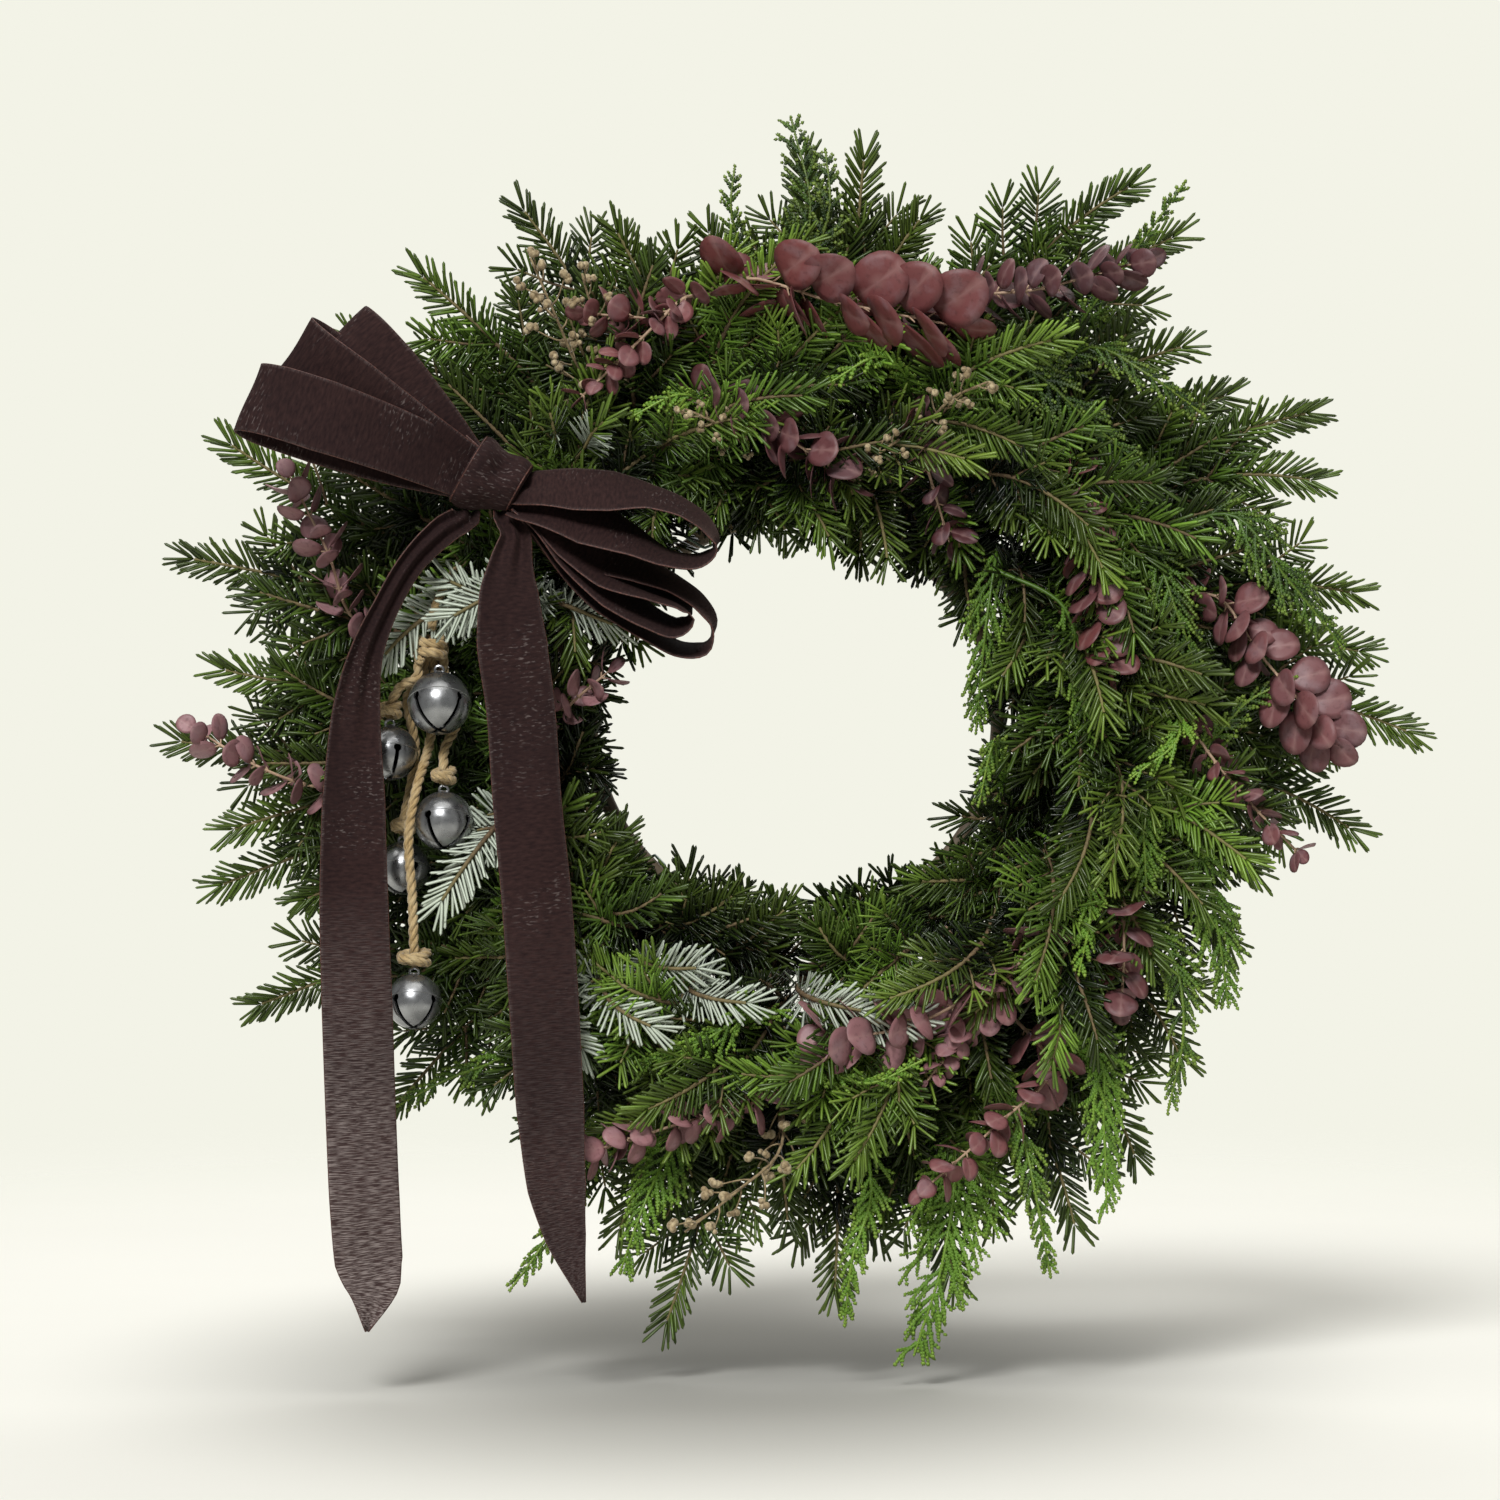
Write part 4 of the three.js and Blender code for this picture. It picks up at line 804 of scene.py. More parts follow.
LEFT_TAIL = [
    (-172, KNOT_BOTTOM - 0.3, 116, 15), (-172, KNOT_BOTTOM - 4, 117, 15), (-183, 98, 121, 15),
    (-199, 82, 125, 13), (-213, 58, 128, 13), (-223, 34, 129, 17), (-228, 6, 128, 24),
    (-229.5, -42, 128, 32), (-229.5, -95, 126, 35), (-228, -148, 124, 36), (-226.5, -201, 119, 36),
    (-224.5, -250, 118, 36), (-222.5, -282, 115, 35), (-220.5, -296, 115, 28), (-223.5, -319, 114, 1.5),
]
RIGHT_TAIL = [
    (-150, KNOT_BOTTOM - 0.3, 116, 15), (-150, KNOT_BOTTOM - 4, 117, 15), (-146, 96, 121, 15),
    (-148, 81, 125, 22), (-149, 66, 127, 30), (-147.5, 40, 128, 36), (-143, 6, 127, 35),
    (-139.5, -42, 128, 35), (-134.5, -95, 125, 36), (-131, -148, 122, 36), (-128, -201, 117, 35),
    (-124.5, -244, 116, 30), (-119.5, -272, 113, 20), (-110.5, -304, 112, 1.5),
]


def left_loop(end, forward, deep, turn):
    """A loop that folds back at its end; turn is how far its edges lean out of the picture."""
    root, tip = Vector((-172, 129)), Vector(end)
    way = (tip - root).normalized()
    flat, lean = Vector((-way.y, 0, way.x)), math.radians(turn)
    front = FRONT * math.cos(lean) - flat * math.sin(lean)
    shares = [0, 0.3, 0.65, 0.9, 1, 0.94, 0.65, 0.3, 0]
    depths = [0.25, 0.9, 1, 0.8, 0.3, -0.2, -0.35, -0.3, -0.1]
    points = []
    for share, depth in zip(shares, depths):
        p = root.lerp(tip, share)
        ahead = (depth - 1 / 3) * deep if share else depth * deep / 4
        points.append(at(p.x, p.y, KNOT.z + forward * min(1, share * 2)) + front * ahead)
    widths = [29 + (RIBBON - 29) * min(1, share * 1.7) for share in shares]
    return points, widths, flat * math.cos(lean) + FRONT * math.sin(lean)


def right_loop(ahead, root, outline):
    """A loop seen partly from its edge: it shows its face by the knot and turns edge-on at its far end."""
    last = len(outline) - 1
    points = [at(x, z, KNOT.z + (ahead / 4 if i in (0, last) else ahead)) for i, (x, z) in enumerate(outline)]
    shares = [min(1, max(0, (x - outline[0][0]) / 95)) for x, _ in outline]
    widths = [root + (RIBBON - root) * min(1, share * 2) for share in shares]
    faced = [-0.7 + 0.45 * min(1, max(0, share - 0.4) / 0.4) for share in shares]
    across = [Vector((0, -math.sqrt(1 - z * z), z)) for z in faced]
    return points, widths, across


def tail(stations):
    return [at(x, z, d) for x, z, d, _ in stations], [s[3] for s in stations], Vector((1, 0.12, 0))


def bow_knot():
    """The velvet band pulled slantwise round the bow's middle, with soft creases and a dimple."""
    shape, edging = Shape(), Shape()
    rows, around = 30, 72
    corners, over, along = [], [], []
    for i in range(rows):
        u = i / (rows - 1)
        x, z, tall, deep = (a + (b - a) * u for a, b in zip(*KNOT_RIMS))
        round_off = 1 - 0.12 * abs(2 * u - 1) ** 6
        for j in range(around):
            a = 2 * math.pi * j / around
            crease = 1 + 0.05 * math.sin(2.6 * math.pi * u + 1.1 * math.cos(a))
            crease += 0.03 * math.cos(5 * a + 6 * u)
            dent = 3.2 * math.exp(-((u - 0.55) / 0.16) ** 2 - (wrap(math.degrees(a) - 62) / 28) ** 2)
            out = (RIM_LEAN * (math.cos(a) * tall) + FRONT * (math.sin(a) * deep)) * crease * round_off
            corners.append(at(x, z, KNOT.z) + out - out.normalized() * dent)
            over.append(u * 34)
            along.append(j / around * 100)
    faces = bands(rows, around, flip=True)
    faces += [list(range(around)), [(rows - 1) * around + j for j in range(around)][::-1]]
    shape.add(corners, faces, worn=0.0, over=over, along=along)
    for row in (1, rows - 2):
        edging.tube([Vector(c) for c in corners[row * around:(row + 1) * around]], 0.5, 6, closed=True,
                    facing=Vector((1, 0, 0)))
    shape.piece("velvet_knot", [VELVET_BROWN], "velvet", "bow_knot")
    edging.piece("velvet_knot_edging", [EDGING], "velvet")


def bow():
    bow_knot()
    for side, loops in (("left", [left_loop(**loop) for loop in LEFT_LOOPS]),
                        ("right", [right_loop(**loop) for loop in RIGHT_LOOPS])):
        for k, loop in enumerate(loops, 1):
            bow_piece(f"velvet_loop_{side}_{k}", f"bow_loops_{side}", loop, "gathered", rows=100,
                      seed=10 * k + (side == "left"), wave=(0.9, 7))
    for side, stations, worn in (("left", LEFT_TAIL, 1.0), ("right", RIGHT_TAIL, 0.2)):
        bow_piece(f"velvet_tail_{side}", f"bow_tail_{side}", tail(stations), "hung", rows=110, worn=worn,
                  wave=(1.3, 9), flat_from=0.45, seed=len(side))


bow()


# ---- frame and wires ----
def willow_frame():
    """Two flat-backed rails with softened edges, and a cross bar behind each bunch."""
    shape = Shape()
    half = [(3.4, -0.4), (4, 0), (4.05, 1.2), (3.4, 6.6), (2.8, 7.5)]
    section = [(-4, 0), (-3.4, -0.4), *half, (0, 7.9), *[(-u, v) for u, v in half[:1:-1]]]
    section = [(u, max(0, v) * RAIL_DEEP / 7.9) for u, v in section]
    steps = 120
    for radius in (INNER_RAIL, OUTER_RAIL):
        corners = [polar(360 * k / steps, radius + u, FRAME_BACK + v)
                   for k in range(steps) for u, v in section]
        shape.add(corners, bands(steps, len(section), closed=True))
    stations, bar_depth = 9, 6.2
    side = [(2.7, -3.1), (3.5, -2.3), (3.5, 2.3), (2.7, 3.1)]
    bar = [(-3.5, -2.3), (-2.7, -3.1), *side, (-2.7, 3.1), (-3.5, 2.3)]
    for k in range(BUNCHES):
        angle = k * SECTOR
        across = Vector((math.cos(math.radians(angle)), 0, -math.sin(math.radians(angle))))
        corners = [polar(angle, r, FRAME_FRONT - bar_depth / 2) + across * u + FRONT * v
                   for r in np.linspace(INNER_RAIL + 1, OUTER_RAIL - 1, stations) for u, v in bar]
        ends = [list(range(8))[::-1], [8 * (stations - 1) + j for j in range(8)]]
        shape.add(corners, bands(stations, 8) + ends)
    mesh = outward(shape.mesh("willow_frame", [WILLOW]))
    mesh.set_sharp_from_angle(angle=math.radians(50))
    piece("willow_frame", mesh, "willow", "wreath_frame")


def wires():
    """The wire wound round every bunch and the rails, and the one that ties the bow on."""
    inside = INNER_RAIL - RAIL_WIDE / 2 - WIRE_R - 0.7
    outside = OUTER_RAIL + RAIL_WIDE / 2 + WIRE_R + 0.7
    turn = [(inside, WIRE_BACK), (outside, WIRE_BACK), (outside, CORE_D), (CORE_RING + 16, CORE_TOP + 2.4),
            (CORE_RING - 16, CORE_TOP + 2.4), (inside, CORE_D)]
    points = [polar((k + 1) * SECTOR / 6, *turn[k % 6]) for k in range(BUNCHES * 6)]
    wound = [a.lerp(b, t) for a, b in zip(points, points[1:]) for t in (0.04, 0.3, 0.7, 0.96)]
    tie = [at(KNOT.x + 4, KNOT.y, KNOT.z - KNOT_SIZE.z / 2 - 0.3), at(KNOT.x + 6, KNOT.y - 2, 84),
           polar(-52, 184, 44), polar(-51, OUTER_RAIL, 24), polar(-51, OUTER_RAIL, FRAME_FRONT + 0.3)]
    for name, path, radius, facing in (("binding", even(wound, 900), WIRE_R, Vector((1, 0, -0.1))),
                                       ("bow", smooth(tie, 30), 0.9, Vector((0, 0, 1)))):
        shape = Shape()
        shape.tube(path, radius, facing=facing)
        shape.piece(f"green_{name}_wire", [GREEN_WIRE], "green_wire",
                    "binding_wire" if name == "binding" else "bow_tie_wire")


willow_frame()
wires()


# ---- growing pieces: twigs as chains of points, and what their node trees grow on them ----
class Twigs:
    """Chains of points with the facing, thickness, tone and freshness at each."""

    def __init__(self):
        self.points, self.edges = [], []
        self.marks = {"facing": [], "thick": [], "tone": [], "fresh": [], "size": []}

    def chain(self, points, facing, thick, tone, fresh, size=1.0):
        first, last = len(self.points), len(points) - 1
        for i, p in enumerate(points):
            share = i / last
            self.points.append(p)
            self.marks["facing"].append(tuple(facing))
            self.marks["thick"].append(thick[0] + (thick[1] - thick[0]) * share)
            self.marks["tone"].append(tone)
            self.marks["fresh"].append(fresh * max(0, share - 0.45) / 0.55)
            self.marks["size"].append(size)
        self.edges += [(first + i, first + i + 1) for i in range(last)]

    def mesh(self, name):
        mesh = bpy.data.meshes.new(name)
        mesh.from_pydata([tuple(p * MM) for p in self.points], self.edges, [])
        for key, values in self.marks.items():
            kind, field = ("FLOAT_VECTOR", "vector") if key == "facing" else ("FLOAT", "value")
            made = mesh.attributes.new(key, kind, "POINT")
            made.data.foreach_set(field, np.array(values, np.float32).ravel())
        return mesh


def grow(name, twigs, tree, slot, nodes, **inputs):
    """The piece that a node tree grows on twigs."""
    thing = placed(name, twigs.mesh(name))
    made = thing.modifiers.new("growth", "NODES")
    made.node_group = tree
    sockets = {s.name: s.identifier for s in tree.interface.items_tree if s.in_out == "INPUT"}
    for label, value in inputs.items():
        made[sockets[label]] = value
    mesh = settle(thing).data
    bpy.data.objects.remove(thing)
    return piece(name, mesh, slot, *nodes)


def new_tree(name, **inputs):
    """A geometry tree with one mesh in, one out and named inputs for its sizes, shape and finishes."""
    tree = bpy.data.node_groups.new(name, "GeometryNodeTree")
    tree.interface.new_socket("Twigs", in_out="INPUT", socket_type="NodeSocketGeometry")
    kinds = {float: "Float", bpy.types.Object: "Object", bpy.types.Material: "Material"}
    for label, value in inputs.items():
        made = tree.interface.new_socket(label.replace("_", " "), in_out="INPUT",
                                         socket_type="NodeSocket" + kinds[type(value)])
        made.default_value = value
    tree.interface.new_socket("Grown", in_out="OUTPUT", socket_type="NodeSocketGeometry")
    entry = node(tree, "NodeGroupInput", out=None)
    return tree, {s.name: s for s in entry.outputs if s.name}


def template(name, shape, materials):
    """A small shape that a tree repeats."""
    return placed(name, outward(shape.mesh(name, materials)))


def one_needle():
    """A flat fir needle along +X, one millimetre long, with a blunt tip; its underside is marked."""
    shape = Shape()
    corners = []
    for x, wide in ((0.16, 0.9), (0.93, 0.85)):
        corners += [Vector((x, 0.052 * wide, 0.02)), Vector((x, 0, 0.02 + 0.018 * wide)),
                    Vector((x, -0.052 * wide, 0.02)), Vector((x, 0, 0.02 - 0.016 * wide))]
    corners += [Vector((0, 0, 0)), Vector((1, 0, 0.01))]
    faces = bands(2, 4, flip=True)
    faces += [[8, j, (j + 1) % 4] for j in range(4)] + [[4 + j, 9, 4 + (j + 1) % 4] for j in range(4)]
    shape.add(corners, faces)
    made = template("needle", shape, [NEEDLES])
    under = made.data.attributes.new("under", "FLOAT", "FACE")
    under.data.foreach_set("value", [1.0 if p.normal.z < -0.2 else 0.0 for p in made.data.polygons])
    return made


def one_scale():
    """A cedar scale leaf along +X: a keeled lozenge."""
    shape = Shape()
    corners = [Vector((0, 0, 0)), Vector((0.45, 0.4, 0)), Vector((1.05, 0.06, 0)), Vector((0.45, -0.4, 0)),
               Vector((0.5, 0, 0.13)), Vector((0.5, 0, -0.13))]
    faces = [[4, b, a] for a, b in ((0, 1), (1, 2), (2, 3), (3, 0))]
    faces += [[5, a, b] for a, b in ((0, 1), (1, 2), (2, 3), (3, 0))]
    shape.add(corners, faces)
    return template("scale", shape, [CEDAR])


def attribute(tree, name, kind="FLOAT"):
    return node(tree, "GeometryNodeInputNamedAttribute", {"Name": name}, data_type=kind)


def chance(tree, low, high, seed):
    return node(tree, "FunctionNodeRandomValue", {2: low, 3: high, "Seed": seed}, out=1, data_type="FLOAT")


def bark(tree, curves, material, sides):
    ring = node(tree, "GeometryNodeCurvePrimitiveCircle", {"Resolution": sides, "Radius": MM}, mode="RADIUS")
    twig = node(tree, "GeometryNodeCurveToMesh", {
        "Curve": curves, "Profile Curve": ring, "Scale": attribute(tree, "thick"), "Fill Caps": True})
    return node(tree, "GeometryNodeSetMaterial", {"Geometry": twig, "Material": material})


def organs(tree, curves, shape, spacing, angle, spread, lean, long, seed):
    """One row of needles or scales along the curves, at an angle round them, that lean towards the tip."""
    points = node(tree, "GeometryNodeResampleCurve", {"Curve": curves, "Length": spacing}, mode="LENGTH")
    way = node(tree, "GeometryNodeInputTangent")
    facing = attribute(tree, "facing", "FLOAT_VECTOR")
    side = vectors(tree, "NORMALIZE", vectors(tree, "CROSS_PRODUCT", facing, way))
    up = vectors(tree, "NORMALIZE", vectors(tree, "CROSS_PRODUCT", way, side))
    turn = maths(tree, "ADD", math.radians(angle),
                 chance(tree, -math.radians(spread), math.radians(spread), seed))
    out = vectors(tree, "ADD", vectors(tree, "SCALE", side, scale=maths(tree, "COSINE", turn)),
                  vectors(tree, "SCALE", up, scale=maths(tree, "SINE", turn)))
    share = node(tree, "GeometryNodeSplineParameter")
    near_tip = maths(tree, "POWER", share, 6.0)
    tilt = maths(tree, "ADD", maths(tree, "ADD", lean, chance(tree, -0.16, 0.16, seed + 7)),
                 maths(tree, "MULTIPLY", near_tip, 0.55))
    aim = vectors(tree, "ADD", vectors(tree, "SCALE", out, scale=maths(tree, "COSINE", tilt)),
                  vectors(tree, "SCALE", way, scale=maths(tree, "SINE", tilt)))
    rotation = node(tree, "FunctionNodeAxesToRotation", {"Primary Axis": aim, "Secondary Axis": up},
                    primary_axis="X", secondary_axis="Z")
    reach = maths(tree, "MULTIPLY", chance(tree, 0.82, 1.05, seed + 13), long)
    reach = maths(tree, "MULTIPLY", reach, attribute(tree, "size"))
    instances = node(tree, "GeometryNodeInstanceOnPoints", {
        "Points": points, "Instance": shape, "Rotation": rotation, "Scale": reach})
    shade = maths(tree, "ADD", attribute(tree, "tone"), chance(tree, -0.28, 0.28, seed + 29))
    return node(tree, "GeometryNodeStoreNamedAttribute",
                {"Geometry": instances, "Name": "tone", "Value": shade}, data_type="FLOAT", domain="INSTANCE")


def end_tree(tree, twigs, rows, material):
    """Real meshes of every row in their material, with the twigs themselves."""
    joined = node(tree, "GeometryNodeJoinGeometry", out=None)
    for row in rows:
        tree.links.new(row, joined.inputs[0])
    real = node(tree, "GeometryNodeRealizeInstances", {"Geometry": joined.outputs[0]})
    dressed = node(tree, "GeometryNodeSetMaterial", {"Geometry": real, "Material": material})
    whole = node(tree, "GeometryNodeJoinGeometry", {"Geometry": dressed}, out=None)
    tree.links.new(twigs, whole.inputs[0])
    node(tree, "NodeGroupOutput", {"Grown": whole.outputs[0]}, out=None)
    return tree


def growing(name, organ, finish, stalk, sides, rows, spacing, long, lean):
    """A tree that grows rows of an organ on twigs; a row is its angle, spread, sparseness and seed."""
    tree, given = new_tree(name, Spacing=spacing, Long=long, Lean=lean, Organ=organ, Finish=finish,
                           Stalk=stalk)
    curves = node(tree, "GeometryNodeMeshToCurve", {"Mesh": given["Twigs"]})
    shape = node(tree, "GeometryNodeObjectInfo", {"Object": given["Organ"], "As Instance": True}, out=4)
    step = maths(tree, "MULTIPLY", given["Spacing"], MM)
    grown = [organs(tree, curves, shape, maths(tree, "MULTIPLY", step, sparse), angle, spread, given["Lean"],
                    given["Long"], seed)
             for angle, spread, sparse, seed in rows]
    return end_tree(tree, bark(tree, curves, given["Stalk"], sides), grown, given["Finish"])


def fir_tree(needle):
    """Needles in two full rows, two thinner rows above them, and the twigs' bark."""
    rows = [(4, 9, 1, 11), (176, 9, 1, 42), (34, 12, 1.7, 73), (146, 12, 1.7, 104)]
    return growing("needles on twigs", needle, NEEDLES, BARK, 6, rows, 3.0, float(NEEDLE), 0.62)


def cedar_tree(scale):
    """Scale leaves in pairs along every branchlet of a flat frond."""
    return growing("scales on fronds", scale, CEDAR, CEDAR, 4, [(8, 8, 1, 5), (172, 8, 1, 22)], 1.7, 3.2, 1.2)


# ---- fir ----
# Tips round the outline: angle from the top, reach from the centre, lean of the tip from the radius, depth.
OUTER_TIPS = [
    (1, 312, -6, 40), (7, 314, -2, 54), (14, 288, 25, 60), (32, 350, 28, 40), (38, 342, 28, 34),
    (46, 300, 30, 52), (53, 303, 26, 30), (59, 332, 18, 46), (65, 316, 36, 60), (77, 318, 25, 48),
    (83, 318, 18, 38), (91, 340, 22, 50), (101, 316, 24, 40), (108, 270, 20, 56), (117, 274, 30, 40),
    (131, 286, 24, 48), (142, 309, 18, 38), (151, 321, 15, 52), (158, 300, 14, 36), (164, 322, 2, 54),
    (176, 318, 8, 44), (192, 342, 8, 42), (199, 300, 4, 56), (205, 316, -3, 36), (226, 308, -6, 44),
    (242, 336, 8, 50), (254, 332, -6, 40), (259, 318, -8, 56), (268, 342, 10, 44), (275, 318, 8, 58),
    (285, 346, -5, 46), (296, 348, 8, 50), (311, 326, -3, 40), (320, 322, -10, 52), (332, 322, -10, 40),
    (340, 290, -9, 54), (350, 278, -9, 44),
]
INNER_TIPS = [
    (21, 88, 168, 50), (357, 92, 160, 62), (344, 106, -160, 44), (45, 106, 142, 58), (80, 118, 150, 54),
    (112, 116, 130, 50), (143, 99, 140, 44), (168, 98, 128, 58), (196, 95, 124, 46), (215, 98, 124, 60),
    (236, 106, 165, 44), (263, 101, 168, 46), (297, 84, -160, 66),
]
TIP_REACH = 15
# How near foliage comes to the middle of the wreath: angle from the top and radius.
HOLE_EDGE = [
    (-21, 102), (-6, 98), (10, 96), (22, 95), (36, 98), (51, 101), (62, 104), (76, 104), (90, 110),
    (104, 106), (116, 100), (128, 99), (142, 96), (163, 98), (178, 94), (195, 91), (214, 96),
    (225, 100), (237, 101), (250, 102), (264, 96), (276, 98), (284, 99), (293, 95), (310, 98),
    (325, 103),
]
# How many sprays fill in behind the face, and line the hole.
FILLING, LINING = 46, 66
# Sprays over the face, in two rows: how many, how unevenly, then each spray's reach, lean and depth from and
# to, how far back round the ring it starts for its lean, and its side twigs' length.
FACE_ROWS = [
    (40, 3, (196, 250), (15, 60), (84, 108), 0.3, 40),
    (34, 4, (150, 192), (50, 95), (90, 116), 0.35, 34),
]
# Sprigs that show their white undersides: tip, and the place that it comes from.
WHITE_SPRIGS = [
    ((-180, 72, 112), (-160, 62)), ((-96, 50, 104), (-130, 64)), ((-214, 34, 113), (-198, 54)),
    ((-184, -94, 122), (-154, -46)), ((-76, -160, 108), (-106, -148)), ((-26, -148, 106), (-58, -146)),
    ((34, -152, 108), (0, -146)), ((62, -156, 104), (34, -162)), ((-52, -130, 100), (-82, -132)),
    ((-112, -172, 100), (-134, -150)), ((-178, 54, 116), (-162, 64)),
]


def ceiling(x, z):
    """How far forward greenery may come: less behind the tails, the bells and the bow."""
    if -236 < x < -158 and -170 < z < 40:
        return 70
    if -272 < x < -96 and -330 < z < 112:
        return 96
    if -305 < x < -165 and 100 < z < 235 or -165 < x < -20 and 20 < z < 145:
        return 84
    return 122


def held(p, room=10, top=None):
    """A point moved back where it would stand too far forward, and forward off the wall."""
    d = min(-p.y, (top or ceiling(p.x, p.z + HOOK_DROP)) - room)
    return Vector((p.x, -max(d, 12), p.z))


def spray(twigs, start, tip, way, draw, side_long, tone, fresh=0.5, roll=0.35, bare=0.22, under=False,
          top=None):
    """A flat fir spray: a main twig with pairs of side twigs up to its long single tip."""
    main_long = (tip - start).length
    middle = tip - way * main_long * 0.52
    count = max(6, int(main_long / 7))
    line = [held(p, top=top) for p in bezier(start, middle, tip, count)]
    facing = FRONT + Vector((draw.uniform(-1, 1), 0, draw.uniform(-1, 1))) * roll
    if under:
        facing = -facing
    twigs.chain(line[int(count * bare):], facing, (1.7, 0.8), tone, fresh)
    upto = 0.74
    steps = max(1, round(main_long * (upto - bare) / 19))
    for k in range(steps):
        share = bare + 0.02 + (upto - bare) * (k + 0.5) / steps
        i = min(int(share * (count - 1)), count - 2)
        p, on = line[i], (line[i + 1] - line[i]).normalized()
        for sign in (-1, 1):
            if draw.random() < 0.1:
                continue
            long = side_long * (1.25 - share) * draw.uniform(0.8, 1.15)
            side = on.cross(facing).normalized() * sign
            lean = math.radians(draw.uniform(40, 54))
            out = (side * math.sin(lean) + on * math.cos(lean)).normalized()
            lift = FRONT * draw.uniform(-0.25, 0.2)
            end = p + (out + lift).normalized() * long + on * long * 0.15
            small = [held(q, 6, top) for q in bezier(p, p + out * long * 0.55, end, max(3, int(long / 9)))]
            twigs.chain(small, facing, (1.0, 0.6), tone + draw.uniform(-0.12, 0.12), fresh)


def bundle(shape, index):
    """The bound stems: seven stalks side by side along the ring, in the bundle's tapered outline."""
    half = SECTOR / 2 - 0.9
    full = half * 0.82
    steps = np.linspace(-half, half, 12)
    for k in range(7):
        a = k * math.pi / 3
        off = (math.cos(a), math.sin(a)) if k else (0, 0)
        path, sizes = [], []
        for angle in steps:
            size = 1 - 0.38 * max(0, abs(angle) - full) / (half - full)
            reach = CORE_R * 0.62 * size
            path.append(polar(index * SECTOR + angle, CORE_RING + off[0] * reach,
                              CORE_D + off[1] * reach * 0.86))
            sizes.append(CORE_R * 0.33 * size)
        shape.tube(path, sizes, 8, fresh=0.0)


def read_round(table, angle):
    """The second number of a table's rows at an angle, from the rows on both sides of it."""
    return float(np.interp(angle, [row[0] for row in table], [row[1] for row in table], period=360))


def foot_of(angle):
    """The bunch nearest to an angle, and the angle kept well inside that bunch."""
    index = round(angle / SECTOR) % BUNCHES
    return index, index * SECTOR + max(-FOOT_REACH, min(FOOT_REACH, wrap(angle - index * SECTOR)))


def fir_sprays():
    """Every spray of the wreath with its bundle: outline, filling rows behind the face, face and hole."""
    made = [[] for _ in range(BUNCHES)]

    def put(angle, radius, lean, depth, swing=0.12, **options):
        index, foot = foot_of(angle - lean * swing)
        made[index].append((polar(foot, CORE_RING, CORE_D), polar(angle, radius, depth),
                            polar(angle + lean, 1, 0) - at(0, 0, 0), options))

    draw = random.Random(41)

    def spread_round(count, jitter):
        for k in range(count):
            yield k * 360 / count + draw.uniform(-jitter, jitter)

    for angle, radius, lean, depth in OUTER_TIPS:
        put(angle, radius - TIP_REACH, lean, depth, side_long=54, fresh=0.6, tone=draw.uniform(0.1, 0.6))
    for angle in spread_round(FILLING, 2):
        reach = read_round(OUTER_TIPS, angle) * draw.uniform(0.76, 0.9) - TIP_REACH
        put(angle, reach, draw.uniform(-8, 36), draw.uniform(40, 78), side_long=46,
            tone=draw.uniform(0, 0.5), fresh=0.3)
    for count, jitter, radii, leans, depths, swing, side_long in FACE_ROWS:
        for angle in spread_round(count, jitter):
            put(angle, draw.uniform(*radii), draw.uniform(*leans), draw.uniform(*depths), swing=swing,
                side_long=side_long, bare=0.3, tone=draw.uniform(0, 1), fresh=draw.choice((0.2, 0.6, 1.0)))
    for angle, radius, lean, depth in INNER_TIPS:
        put(angle, radius + 9, lean, depth, side_long=28, fresh=0.6, bare=0.1, tone=draw.uniform(0.2, 0.9))
    for angle in spread_round(LINING, 2.5):
        reach = read_round(HOLE_EDGE, angle) + draw.choice((3, 10, 18, 26)) + draw.uniform(-3, 6)
        put(angle, reach, draw.choice((1, 1, -1)) * draw.uniform(108, 170), draw.uniform(26, 96),
            side_long=26, bare=0.08, tone=draw.uniform(0, 0.8), fresh=draw.choice((0.2, 0.6)))
    for tip, origin in WHITE_SPRIGS:
        index, foot = foot_of(math.degrees(math.atan2(*origin)))
        made[index].append((
            polar(foot, CORE_RING, CORE_D), at(*tip), at(*tip) - at(*origin, tip[2]),
            {"side_long": 17, "bare": 0.45, "tone": 0.4, "under": True, "top": tip[2] + 10, "roll": 0.5}))
    return made


def fir():
    needle = one_needle()
    tree = fir_tree(needle)
    for index, sprays in enumerate(fir_sprays()):
        draw = random.Random(700 + index)
        twigs = Twigs()
        for start, tip, way, options in sprays:
            spray(twigs, start, tip, way.normalized(), draw, **options)
        number = f"{index + 1:02d}"
        grow(f"fir_spray_{number}", twigs, tree, "fir", [f"fir_bunch_{number}"], Long=float(NEEDLE))
        shape = Shape()
        bundle(shape, index)
        shape.piece(f"fir_stalks_{number}", [BARK], "fir")
    bpy.data.objects.remove(needle)


fir()


# ---- stems of eucalyptus, cedar and dried flowers ----
def stem_from_bundle(shown, count):
    """From a bundle's front, forward and out to the first shown point, and along the rest."""
    first = shown[0]
    _, angle = foot_of(math.degrees(math.atan2(first.x, first.z + HOOK_DROP)))
    foot, ahead = (polar(angle, CORE_RING, CORE_TOP + rise) for rise in (0.3, 14.3))
    rest = [ahead.lerp(first, 0.55) + Vector((0, 10, 0)), first + Vector((0, 8, 0)), *shown[1:]]
    return smooth([foot, ahead, *rest], count)


